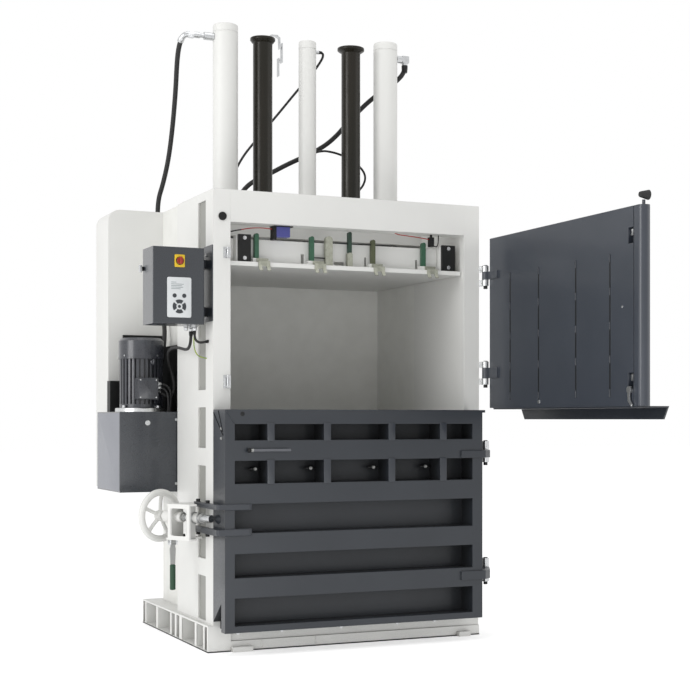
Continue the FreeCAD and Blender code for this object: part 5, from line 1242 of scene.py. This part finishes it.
@dataclass
class DoorLock(Assembly):
    """Handwheel and its screw, on a line turned from the machine's depth.

    Every profile gives pairs of radius and distance from the wheel's middle along that line.

    Attributes:
        centre: Middle of the wheel.
        turn_deg: Angle between the screw and the machine's depth.
        rim: Radius of the wheel's rim and of the tube that it is bent from.
        spokes: Number of spokes.
        spoke: Radius of a spoke, its start from the middle and its bow towards the hand.
        first_spoke_deg: Angle of the first spoke.
        hub: Profile of the hub.
        shaft: Profile of the screw with its nut.
        sleeve: Profile of the painted sleeve on the bracket.
        lock_nuts: Distances of the two lock nuts.
        ring: Profile of a guide ring.
        rings: Distances of the guide rings.
        deck_bolts: Places of the bolts through the bracket's decks.
        decks: Levels of the bolts' nuts and the side that they face.
    """

    centre: tuple = (-835.5, -265, 605)
    turn_deg: float = 24.0
    rim: tuple = (107, 16)
    spokes: int = 5
    spoke: tuple = (9, 18, 5)
    first_spoke_deg: float = 12
    hub: tuple = ((17, -21), (21, -19), (25, -12), (26, 0), (25, 12), (21, 19), (16, 21))
    shaft: tuple = ((6, -25), (8, -24), (9, -21), (9, 23), (14, 24), (15, 25), (15, 37),
                    (14, 38), (9, 38.5), (9, 330))
    sleeve: tuple = ((10, 112), (24, 113), (25, 115), (25, 158), (22, 162), (10, 163))
    lock_nuts: tuple = (166, 192)
    ring: tuple = ((22.2, 0), (26, 1), (26, 9), (22.2, 10))
    rings: tuple = (240, 280)
    deck_bolts: tuple = ((-745, -425), (-745, -330))
    decks: tuple = ((659, -1), (511, 1))

    @property
    def heading(self) -> Array:
        """Direction from the wheel to the door."""
        turn = math.radians(self.turn_deg)
        return np.array([math.sin(turn), -math.cos(turn), 0.0])

    def at(self, distance: float) -> Array:
        """Point on the screw's line."""
        return np.array(self.centre) + self.heading * distance

    def build(self) -> None:
        """Make the wheel with its screw, and what sits on the bracket."""
        heading, centre = self.heading, self.centre
        wheel = [torus(*self.rim, centre, heading), lathe(self.hub, centre, heading, 40)]
        wheel += [self.bent_spoke(number) for number in range(self.spokes)]
        wheel.append(lathe(self.shaft, centre, heading, 32))
        self.add("bent_tube_wheel", wheel, WHITE_PAINT, Body.HANDWHEEL, replaces=["handwheel"])
        self.add("lock_nuts", [hex_bolt(self.at(s), heading, 32, 12, 19) for s in self.lock_nuts],
                 DULL_STEEL)
        self.add("screw_sleeve", lathe(self.sleeve, centre, heading, 40, closed=True),
                 WHITE_PAINT)
        self.add("bracket_nuts", [hex_bolt((x, y, z), UP * sense, 17, 9, 11)
                                  for x, y in self.deck_bolts for z, sense in self.decks],
                 BLACK_STEEL)
        self.add("guide_rings", [lathe(self.ring, self.at(s), heading, 40, closed=True)
                                 for s in self.rings], ZINC)

    def bent_spoke(self, number: int) -> Shell:
        """Round spoke bowed by b sin(pi t) towards the hand, t running from hub to rim.

        Args:
            number: Its number, from 0.

        Returns:
            The spoke.
        """
        across, along, _ = basis(self.heading).T
        angle = math.radians(360 / self.spokes * number + self.first_spoke_deg)
        ray = across * math.cos(angle) + along * math.sin(angle)
        radius, start, bow = self.spoke
        end = self.rim[0] - 2
        reach = np.linspace(start, end, 12)
        sag = bow * np.sin(np.pi * (reach - start) / (end - start))
        path = np.array(self.centre) + np.outer(reach, ray) - np.outer(sag, self.heading)
        return swept(path, radius, 16)


# ---------------------------------------------------------------------------- platen

@dataclass
class PlatenFittings(Assembly):
    """Strap guides, posts, clips and bolts on the platen's front.

    Attributes:
        guides: Middle, width, foot and top of each plastic guide, and its finish.
        posts: The same of the two sheet posts.
        depth: Front and back of the guides and posts.
        ties: Ends, height and steps of the two thin rods between the posts.
        tie_radius: Radius of these rods.
        clips: Middles of the strap clips.
        tongues: Sides of a clip's two tongues, from its middle.
        front: Level of the platen's front edge.
        skin: Underside and top of the platen's plate.
        block_bolts: Places across, and heights, of the bolts of the black guide blocks.
        block_front: Level of these bolts' foot.
        seam: Half the length, depth and height of the weld behind the guides.
    """

    body: ClassVar[Body] = Body.RAM
    guides: tuple = ((-448, 20, 1790, 1905, GREEN_PLASTIC), (-176, 20, 1790, 1905, GREEN_PLASTIC),
                     (16, 17, 1838, 1936, DARK_GREEN), (136, 20, 1790, 1905, OLIVE_PLASTIC),
                     (402, 20, 1790, 1905, GREEN_PLASTIC))
    posts: tuple = ((-91, 36, 1770, 1910), (16, 26, 1770, 1838))
    depth: tuple = (-506, -484)
    ties: tuple = ((-166, -109, 1806, 4), (-73, 236, 1880, 8))
    tie_radius: float = 3
    clips: tuple = (-422, -146, 154, 434)
    tongues: tuple = ((-28, -11), (11, 28))
    front: float = -530
    skin: tuple = (1750, 1770)
    block_bolts: tuple = ((-511.5, 527.5), (1787, 1879))
    block_front: float = -522
    seam: tuple = (586, -471, 1771)

    def build(self) -> None:
        """Make the pieces that ride on the ram."""
        front = self.depth[0]
        for number, (x, width, low, high, finish) in enumerate(self.guides, start=1):
            head = disc(width * 0.22, 0, 1.2, 0.3, (x, front, high - width * 0.6), FRONT, 20)
            self.add(f"plastic_guide_{number}", [self.post(x, width, low, high), head], finish,
                     replaces=["strap_guides"] if number == 1 else ())
        self.add("galvanised_posts", [self.post(*post) for post in self.posts], GALVANISED,
                 replaces=["strap_clips"])
        self.add("bent_clips", [self.clip(x) for x in self.clips], GALVANISED, bevel_mm=0.8)
        middle = sum(self.depth) / 2
        self.add("tie_rods", [rod((x0, middle, z), (x1, middle, z), self.tie_radius, steps, 12)
                              for x0, x1, z, steps in self.ties], BLACK_STEEL)
        across, heights = self.block_bolts
        self.add("guide_block_screws", [hex_bolt((x, self.block_front, z), FRONT, 13, 5, 9)
                                        for x in across for z in heights], ZINC)
        half, y, z = self.seam
        self.add_welds("platen_welds", [weld((-half, y, z), (half, y, z))], WHITE_PAINT)

    def post(self, x: float, width: float, low: float, high: float) -> Shell:
        """Upright bar with a half-round top, seen from the front.

        Args:
            x: Place across, of its middle.
            width: Width of the bar.
            low: Height of its foot.
            high: Height of its top.

        Returns:
            The bar.
        """
        half, top = width / 2, high - width / 2
        outline = [(x - half, low), (x + half, low)]
        outline += [(x + half * math.cos(a), top + half * math.sin(a))
                    for a in np.linspace(0, np.pi, 15)]
        return prism(outline, *self.depth, Axis.Y)

    def clip(self, x: float) -> Shell:
        """Sheet clip bent over the platen's edge, with two hooked tongues below.

        Args:
            x: Place across, of its middle.

        Returns:
            The clip.
        """
        edge, (low, skin) = self.front, self.skin
        bent = [(edge + 24, skin), (edge + 24, skin + 20), (edge + 18, skin + 20),
                (edge + 18, skin + 6), (edge - 6, skin + 6)]
        tongue = bent + [(edge - 8, low), (edge - 20, low - 16), (edge - 17, low - 20),
                         (edge - 1, low - 2), (edge, skin)]
        bridge = bent + [(edge - 7, low + 2), (edge, low + 2), (edge, skin)]
        (_, left), (right, _) = self.tongues
        sides = [prism(tongue, x + x0, x + x1, Axis.X) for x0, x1 in self.tongues]
        return prism(bridge, x + left, x + right, Axis.X).joined(sides)


# ---------------------------------------------------------------------------- lower door

@dataclass
class LowerDoor(Assembly):
    """Fittings on the ribbed lower door.

    Attributes:
        front: Level of its front face.
        floor: Level of its pockets' floor.
        side: Level of its left face.
        hooks: Middles of the hooks in its second row.
        hook_z: Height of the hooks.
        hook: Radius of a hook's bar, half its length and how far it stands out.
        dividers: Sides of the upright bars between the short pockets.
        rows: Foot and top of the two rows of short pockets.
        bar: Ends and height of the tie bar, and how far it stands out.
        knob: Profile of the tie bar's knob.
        arm_x: Middle of the locking arms.
        arm_bolts: Depths of the bolts through the arms.
        arm_faces: Levels of the bolts' heads and the side that they face.
        arm_seams: Heights of the welds along the arms.
        arm_seam_end: Place across where these welds end.
        corner_seam: Ends of the weld above the gusset.
        gusset: Upper and lower end, radius and steps of each bar in the cut corner.
        corner_plug: Place of the round plug beside it.
        corner_bolts: Depth and heights of the screws below it.
    """

    body: ClassVar[Body] = Body.LOWER_DOOR
    front: float = -732
    floor: float = -616
    side: float = -674.5
    hooks: tuple = (-509.5, -243.5, 67.5, 335.5)
    hook_z: float = 828
    hook: tuple = (7, 26, 38)
    dividers: tuple = ((-478, -444), (-208, -174), (112, 146), (377, 411))
    rows: tuple = ((765, 867), (957, 1029))
    bar: tuple = (-576, -374, 913, 18)
    knob: tuple = ((6, 0), (9, 1), (10, 4), (10, 11), (8, 15), (4, 16))
    arm_x: float = -704
    arm_bolts: tuple = (-574, -430)
    arm_faces: tuple = ((675, 1), (538, -1))
    arm_seams: tuple = (652, 675, 565, 538)
    arm_seam_end: float = -550
    corner_seam: tuple = ((-671, 1092), (-630, 1031))
    gusset: tuple = (((-568, 1080), (-704, 980), 2.4, 10), ((-636, 1090), (-700, 996), 2.0, 8))
    corner_plug: tuple = (-593, 1074)
    corner_bolts: tuple = (-683, (1010, 966))

    def build(self) -> None:
        """Make everything that is fixed on the door."""
        self.fit_bars()
        self.fit_fasteners()
        self.fit_corner()
        self.run_welds()

    def fit_bars(self) -> None:
        """Make the hooks, the tie bar on its two feet and the dividers' caps."""
        self.add("strap_hooks", [self.strap_hook(x) for x in self.hooks], BLACK_STEEL,
                 replaces=["lower_door_fittings"])
        left, right, z, out = self.bar
        line = self.front - out
        grip = [rod((left + 26, line, z), (right, line, z), 6.5, 12, 16)]
        grip += [rod((x, line, z), (x, self.front, z), 5.5, 4, 14)
                 for x in (left + 34, right - 14)]
        self.add("tie_bar_rod", grip, DARK_STEEL)
        self.add("divider_caps", [soft_plate((x0, x1), (z0 - 4, z1 + 5), self.front - 4,
                                             self.front, 1.5, 1.5)
                                  for x0, x1 in self.dividers for z0, z1 in self.rows],
                 ANTHRACITE)

    def fit_fasteners(self) -> None:
        """Make the nuts on the hooks and the tie bar, its knob and the arms' bolts."""
        tip = self.floor - self.hook[2]
        self.add("hook_nuts", [hex_bolt((x, tip - 6, self.hook_z), FRONT, 12, 6, 8)
                               for x in self.hooks], DULL_STEEL)
        left, _, z, out = self.bar
        line = self.front - out
        self.add("tie_bar_nut", hex_bolt((left + 28, line, z), LEFT, 13, 9, 8), DULL_STEEL)
        self.add("tie_bar_knob", lathe(self.knob, (left + 16, line, z), LEFT, 24), BLACK_PLASTIC)
        self.add("arm_bolts", [hex_bolt((self.arm_x, y, z), UP * sense, 17, 11, 11)
                               for y in self.arm_bolts for z, sense in self.arm_faces],
                 BLACK_STEEL)

    def fit_corner(self) -> None:
        """Make the gusset's bars, the plug and the screws at the cut corner."""
        gusset = [rod((self.side, *upper), (self.side, *lower), radius, steps, 10)
                  for upper, lower, radius, steps in self.gusset]
        x, z = self.corner_plug
        gusset.append(disc(10, -0.3, 1.2, 0.6, (x, self.front, z), FRONT, 32))
        self.add("corner_gusset", gusset, BLACK_STEEL)
        y, heights = self.corner_bolts
        self.add("corner_screws", [hex_bolt((self.side + 1, y, z), LEFT, 10, 4, 7)
                                   for z in heights], DULL_STEEL)

    def run_welds(self) -> None:
        """Make the welds along the arms and above the gusset."""
        face = self.front - 1
        seams = [weld((self.arm_x + 31, face, z), (self.arm_seam_end, face, z), 3)
                 for z in self.arm_seams]
        (x0, z0), (x1, z1) = self.corner_seam
        seams.append(weld((x0, self.front, z0), (x1, self.front - 0.5, z1), 2.2))
        self.add_welds("door_welds", seams, ANTHRACITE)

    def strap_hook(self, x: float) -> Shell:
        """Round stem with a cross bar whose radius is r sqrt(1 - (s / half)^6) at distance s.

        Args:
            x: Place across, of its middle.

        Returns:
            The hook.
        """
        radius, half, reach = self.hook
        tip, z = self.floor - reach, self.hook_z
        run = np.linspace(-half, half, 15)
        taper = radius * np.sqrt(np.clip(1 - (np.abs(run) / (half + 0.5)) ** 6, 0.05, 1))
        path = np.column_stack([x + run, np.full(15, tip), np.full(15, z)])
        return rod((x, self.floor, z), (x, tip, z), radius, 5, 16).joined([swept(path, taper, 16)])


# ---------------------------------------------------------------------------- control box

@dataclass
class ControlBox(Assembly):
    """Keypad, switch, latch and glands of the control box.

    Attributes:
        front: Level of the lid's face.
        keypad: Lowest and highest place of the keypad across and up.
        film: Thickness of the keypad.
        window: Foot and top of the display window, and its distance from the keypad's sides.
        rules: Foot and length of each line on the display.
        rule_height: Height of these lines.
        round_keys: Radius, distance from the middle and height of the two single keys.
        pad_z: Height of the middle of the ring of keys.
        pad: Radius of the middle key, inner and outer radius of the ring, half a key's angle.
        switch: Middle of the main switch.
        plate: Half the width and height of the switch's plate, and its thickness.
        switch_ring: Profile of the ring round the knob.
        latch: Middle of the latch on the left side.
        latch_disc: Profile of the latch's disc.
        glands: Place and radius of each gland.
        gland_z: Height of the box's underside.
        seal: Lowest and highest place of the lid's seal across and up, its front and its back.
    """

    body: ClassVar[Body] = Body.BOX_LID
    front: float = -560
    keypad: tuple = ((-885.5, -775.5), (1503, 1682))
    film: float = 4
    window: tuple = (1625, 1664, 14)
    rules: tuple = ((1658, 24), (1650, 58), (1643, 50), (1636, 55), (1629, 44))
    rule_height: float = 2.4
    round_keys: tuple = (9.5, 22, 1600)
    pad_z: float = 1552
    pad: tuple = (7, 14, 31, 0.62)
    switch: tuple = (-828.5, 1755)
    plate: tuple = (23, 28, 5)
    switch_ring: tuple = ((16, 4.8), (18.5, 5), (18.5, 7), (16, 7.5))
    latch: tuple = (-949.5, -403, 1729)
    latch_disc: tuple = ((4, -3), (4, 0.3), (9.6, 0.3), (10, 1), (10, 7), (9, 8))
    glands: tuple = ((-742, -500, 8), (-782, -500, 6), (-742, -445, 7))
    gland_z: float = 1475
    seal: tuple = ((-948, -713), (1476.5, 1815.5), -546.4, -546.05)

    def build(self) -> None:
        """Make every fitting."""
        self.lay_keypad()
        self.fit_switch()
        x, y, z = self.latch
        self.add("latch_disc", lathe(self.latch_disc, self.latch, LEFT, 32), BLACK_PLASTIC,
                 Body.BOX_LATCH, replaces=["box_latch"])
        self.add("latch_wing", soft_plate((y - 4, y + 4), (z - 17, z + 17), x - 22, x - 8, 3.5, 2,
                                          Axis.X), ZINC, Body.BOX_LATCH)
        self.add("gland_bodies", [self.gland(*gland) for gland in self.glands], ZINC, Body.FRAME,
                 replaces=["cable_glands"])
        self.add("lid_seal", soft_plate(*self.seal, 2, 0.1), BLACK_PLASTIC, Body.FRAME)

    def fit_switch(self) -> None:
        """Make the switch's plate and ring, and the knob with its grip."""
        x, z = self.switch
        place, (half_x, half_z, thick) = (x, self.front, z), self.plate
        self.add("switch_base", soft_plate((x - half_x, x + half_x), (z - half_z, z + half_z),
                                           self.front - thick, self.front, 4, 1.5),
                 YELLOW_PLASTIC, replaces=["switch_plate"])
        self.add("switch_ring", lathe(self.switch_ring, place, FRONT, 48, closed=True),
                 BLACK_PLASTIC)
        grip = soft_plate((x - 5.5, x + 5.5), (z - 17, z + 17), self.front - 32,
                          self.front - 14, 5, 2.5)
        self.add("switch_knob", [disc(15, 5.3, 14, 2.5, place, FRONT, 48), grip,
                                 lathe([(12, -3), (12, 5.3)], place, FRONT, 32)],
                 RED_PLASTIC, Body.MAIN_SWITCH, replaces=["main_switch"])

    def gland(self, x: float, y: float, radius: float) -> Shell:
        """Hexagon lock nut and domed cap of a cable gland.

        Args:
            x: Place across, of its middle.
            y: Its depth.
            radius: Radius of its opening.

        Returns:
            The gland.
        """
        place, down = (x, y, self.gland_z), -UP
        nut = [((radius + 5) * 1.1, 0), ((radius + 5) * 1.1, 9), (radius + 5, 10)]
        cap = [(radius + 3, 10), (radius + 3.5, 11), (radius + 3.5, 19), (radius + 2, 24),
               (radius + 0.4, 26)]
        return lathe(nut, place, down, 6).joined([lathe(cap, place, down, 32)])

    def lay_keypad(self) -> None:
        """Membrane with a display window, lines on it and raised keys."""
        (x0, x1), height = self.keypad
        face, middle = self.front - self.film, (x0 + x1) / 2
        self.add("keypad_film", soft_plate((x0, x1), height, face, self.front, 8, 1.2),
                 WHITE_PLASTIC, replaces=["keypad"])
        low, high, inset = self.window
        self.add("display_window", soft_plate((x0 + inset, x1 - inset), (low, high), face - 0.5,
                                              face + 0.5, 3, 0.3), WHITE_PLASTIC)
        start = x0 + inset + 3
        self.add("display_rules", [soft_plate((start, start + width), (z, z + self.rule_height),
                                              face - 1.0, face, 1, 0.2)
                                   for z, width in self.rules], GREY_FILM)
        radius, off, z = self.round_keys
        keys = [disc(radius, -0.2, 1.0, 0.5, (x, face, z), FRONT, 32)
                for x in (middle - off, middle + off)]
        keys.append(disc(self.pad[0], -0.2, 1.0, 0.5, (middle, face, self.pad_z), FRONT, 32))
        keys += [self.ring_key(middle, face, quarter * math.pi / 2) for quarter in range(4)]
        self.add("raised_keys", keys, DARK_KEY)

    def ring_key(self, x: float, face: float, middle: float) -> Shell:
        """Key of a fifth of the ring, between its two radii round the angle middle.

        Args:
            x: Place across, of the middle of the ring.
            face: Level of the film's face.
            middle: Angle of the key's middle.

        Returns:
            The key.
        """
        _, inner, outer, half = self.pad
        turn = np.linspace(middle - half, middle + half, 11)
        outline = [(x + inner * math.cos(a), self.pad_z + inner * math.sin(a)) for a in turn]
        outline += [(x + outer * math.cos(a), self.pad_z + outer * math.sin(a))
                    for a in turn[::-1]]
        return prism(outline, face - 1.0, face + 0.2, Axis.Y)


# ---------------------------------------------------------------------------- drive

@dataclass
class HydraulicPack(Assembly):
    """Dressing of the motor, its flange, its terminal box and the cabinet.

    Attributes:
        motor: Middle of the motor.
        flange: Radius, foot and top of the flange.
        flange_bolts: Radius of the circle of bolts on the flange.
        first_bolt_deg: Angle of the first bolt.
        cowl: Radius and height of the screws in the fan cowl.
        band: Profile of the band round the cowl.
        terminal: Lowest and highest place of the terminal box across and up, and its front.
        eye: Place of the lifting eye, from the motor's middle, and its height.
        glands: Depth and height of each gland on the terminal box.
        gland_x: Level of the box's right side.
        duct: Outline of the duct behind the motor, in depth and height.
        duct_sides: Its two sides.
        panel: Extent of the light grey panel of painted light on the cabinet's left side, in depth
            and height, and its two levels.
    """

    motor: tuple = (-790, 245)
    flange: tuple = (126, 1086, 1106)
    flange_bolts: float = 116
    first_bolt_deg: float = 30
    cowl: tuple = (110.5, 1362)
    band: tuple = ((110.2, 1346), (111.8, 1347), (111.8, 1353), (110.2, 1354))
    terminal: tuple = ((-846, -746), (1146, 1252), 88)
    eye: tuple = (30, -112, 1330)
    glands: tuple = ((108, 1222), (108, 1204), (119, 1185))
    gland_x: float = -746
    duct: tuple = ((60, 1094), (470, 1094), (470, 1370), (430, 1420), (60, 1420))
    duct_sides: tuple = (-624, -608.5)
    panel: tuple = ((30, 475), (706, 1080), -953.5, -952.4)

    def build(self) -> None:
        """Make every fitting."""
        x, y = self.motor
        radius, low, high = self.flange
        ring = [(radius - 14, low + 0.3), (radius + 0.5, low + 0.3), (radius + 0.5, high - 4),
                (radius - 1, high - 1), (radius - 4, high + 0.5), (radius - 14, high + 0.5)]
        self.add("flange_ring", lathe(ring, (x, y, 0), UP, 96, closed=True), ALUMINIUM)
        spots = np.deg2rad(np.arange(4) * 90 + self.first_bolt_deg)
        rays = np.column_stack([np.cos(spots), np.sin(spots), np.zeros(4)])
        self.add("flange_bolts", [hex_bolt((x, y, high) + self.flange_bolts * ray, UP, 17, 10, 11)
                                  for ray in rays], ZINC)
        self.close_terminal_box(rays)
        shift_x, shift_y, z = self.eye
        eye = torus(13, 4, (x + shift_x, y + shift_y, z), RIGHT, 40, 14)
        boss = lathe([(12, -14), (12, 4), (9, 7), (5, 8)], (x + shift_x, y + shift_y + 8, z),
                     FRONT, 28)
        self.add("lifting_eye", [eye, boss], MOTOR_GREY)
        self.add("cowl_band", lathe(self.band, (x, y, 0), UP, 80, closed=True), MOTOR_GREY)
        self.add("cable_duct", prism(self.duct, *self.duct_sides, Axis.X), BLACK_PLASTIC,
                 bevel_mm=4)
        neck = [(11, 0), (11, 6), (9, 7), (9, 14), (7, 20)]
        self.add("terminal_glands", [lathe(neck, (self.gland_x, *gland), RIGHT, corners)
                                     for gland in self.glands for corners in (6, 28)], ZINC)
        # Painted light: a light grey panel brightens the cabinet's lit left face.
        self.add("cabinet_lit_side_panel", soft_plate(*self.panel, 4, 0.8, Axis.X), LIT_SIDE_GREY)

    def close_terminal_box(self, rays: Array) -> None:
        """Make the terminal box's lid, its screws and those of the cowl along the rays.

        Args:
            rays: Directions of the cowl's screws.
        """
        (x0, x1), (z0, z1), front = self.terminal
        self.add("terminal_lid", soft_plate((x0 + 2, x1 - 2), (z0 + 2, z1 - 2), front - 3,
                                            front + 1, 9, 2), MOTOR_GREY)
        screws = [disc(3.5, 0, 2, 0.6, (x, front - 3, z), FRONT, 20)
                  for x in (x0 + 11, x1 - 11) for z in (z0 + 11, z1 - 11)]
        radius, height = self.cowl
        screws += [hex_bolt((*self.motor, height) + radius * ray, ray, 8, 4) for ray in rays]
        self.add("motor_screws", screws, ZINC)


# ---------------------------------------------------------------------------- upper door

@dataclass
class UpperDoor(Assembly):
    """Weld marks and small fittings of the open upper door.

    Attributes:
        face: Level of its inner face.
        seams: Places of the four seams along the depth.
        reach: Lowest and highest place of the seams.
        marks: Number of stitch welds on a seam and half the length of one.
        tongues: Depth of the latch tongues' two sides, and their feet.
        pad: Extent of the buffer's pad across and in depth, its top and its foot.
        plugs: Depth, height, radius, height and edge of the two round plugs.
    """

    body: ClassVar[Body] = Body.UPPER_DOOR
    face: float = 705.5
    seams: tuple = (-817, -1085, -1410, -1685)
    reach: tuple = (1142, 1746)
    marks: tuple = (5, 17)
    tongues: tuple = ((-1856, -1828), (1806, 1208))
    pad: tuple = ((-1900, -1825), (719, 746), 1928.5, 1926.5)
    plugs: tuple = ((-1092, 1130, 9, 4, 1.2, 28), (-1779, 1517, 5, 2, 0.8, 24))

    def build(self) -> None:
        """Make the stitch welds, the seams, the tongues, the pad and the plugs."""
        (low, high), (count, half) = self.reach, self.marks
        heights = np.linspace(low + half + 1, high - half - 1, count)
        level = self.face - 0.5
        self.add_welds("stitch_welds", [weld((level, y, z - half), (level, y, z + half), 4.5, 8)
                                        for y in self.seams for z in heights], ANTHRACITE)
        self.add("seam_fillers", [soft_plate((y - 5, y + 5), self.reach, self.face - 0.6,
                                             self.face + 3, 4, 0.4, Axis.X)
                                  for y in self.seams], BLACK_PLASTIC, slot=Slot.SKIRT_DARK)
        near, (depth, feet) = self.face + 8, self.tongues
        self.add("latch_tongues", [soft_plate(depth, (z, z + 30), near, near + 20, 5, 3, Axis.X)
                                   for z in feet], ZINC, bevel_mm=1)
        pad = soft_plate(*self.pad, 3, 1, Axis.Z)
        self.add("top_pad", Shell(pad.points[:, [1, 0, 2]], [face[::-1] for face in pad.faces]),
                 BLACK_PLASTIC)
        self.add("door_plugs", [disc(radius, -0.5, out, edge, (self.face, y, z), LEFT, steps)
                                for y, z, radius, out, edge, steps in self.plugs], ZINC)


# ---------------------------------------------------------------------------- frame

@dataclass
class PressFrame(Assembly):
    """Weld lines of the white frame and the base, the grey sheets of painted shade behind its
    openings, and a dark strip of painted shadow round the base's foot.

    Attributes:
        side: Level of the side frames' outer face.
        wall: Level of the chamber walls' outer face.
        front: Level of the front.
        deck: Height of the base's deck.
        back: Depth at which the side frames end.
        wall_back: Depth at which the welds along the chamber walls end.
        weld_top: Top of the upright welds behind the side frames.
        feet: Places of the short welds on the front.
        foot_reach: Foot and top of these welds.
        ribs: Depths of the base's welded ribs.
        rib_reach: Foot and top of the ribs' welds.
        windows: Foot and top of the side frames' openings.
        sheet: Two levels of the painted-shade sheets behind them, and their extent in depth.
        lap: How far a sheet reaches past its opening.
        base: Lowest and highest place of the base across and in depth.
        seal: Foot and top of the dark strip of painted shadow round the base's foot.
    """

    side: float = 673.5
    wall: float = 608.5
    front: float = -560
    deck: float = 122
    back: float = 11
    wall_back: float = 494
    weld_top: float = 2086
    feet: tuple = (-444, -180)
    foot_reach: tuple = (10, 46)
    ribs: tuple = (-510, -385, -147)
    rib_reach: tuple = (17, 105)
    windows: tuple = ((131, 334), (413, 838), (919, 1105), (1185, 2050))
    sheet: tuple = ((663.4, 665.4), (-456, -322))
    lap: float = 5
    base: tuple = ((-698, 674), (-559.5, 559.5))
    seal: tuple = (0.5, 6)

    def build(self) -> None:
        """Make the beads, the painted-shade sheets behind the openings and the strip of painted
        shadow on the floor.
        """
        front, bead = self.front, self.deck + 1
        beads = []
        for sign in (-1, 1):
            side, wall = sign * self.side, sign * self.wall
            beads += [weld((side, front + 4, bead), (side, self.back, bead), 3.2),
                      weld((wall, self.back + 3, bead), (wall, self.wall_back, bead), 3.2),
                      weld((wall, self.back + 0.5, self.deck),
                           (wall, self.back + 0.5, self.weld_top), 3)]
        low, high = self.foot_reach
        beads += [weld((x, front - 0.3, low), (x, front - 0.3, high), 1.8) for x in self.feet]
        low, high = self.rib_reach
        rib_x = self.base[0][0] + 0.5
        beads += [weld((rib_x, y, low), (rib_x, y, high), 2.2) for y in self.ribs]
        self.add_welds("frame_welds", beads, WHITE_PAINT)
        (inner, outer), (y0, y1) = self.sheet
        # Painted shade: grey sheets fill the side frames' openings, whose insides lie in shade.
        self.add("window_shade_sheets", [block((x0, y0, foot - self.lap), (x1, y1, top + self.lap))
                                   for x0, x1 in ((-outer, -inner), (inner, outer))
                                   for foot, top in self.windows], WINDOW_SHADE_GREY, bevel_mm=0.5)
        self.lay_contact_shadow()

    def lay_contact_shadow(self) -> None:
        """Make the dark strip of painted contact shadow that runs round the base's foot."""
        (x0, x1), (y0, y1) = self.base
        foot, top = self.seal
        corners = (((x0, y0 - 1.7), (x1, y0)), ((x0 - 1.2, y0 - 1.7), (x0 + 0.5, y1 + 1.5)),
                   ((x1 - 0.5, y0 - 1.7), (x1 + 1.2, y1 + 1.5)), ((x0, y1), (x1, y1 + 1.7)))
        # Painted shadow: a thin black strip where the base meets the floor.
        self.add("contact_shadow_strip", [block((*low, foot), (*high, top)) for low, high in corners],
                 RUBBER, bevel_mm=0.4)


def main() -> None:
    """Build every sub-assembly in order."""
    logging.basicConfig(level=logging.INFO, format="%(message)s")
    Camera().build()
    Hoses().build()
    dress_nodes()
    for assembly in (PressFrame(), Press(), PlatenFittings(), LowerDoor(), UpperDoor(),
                     DoorLock(), ControlBox(), HydraulicPack(), Studio()):
        assembly.build()


if __name__ == "__main__":
    main()
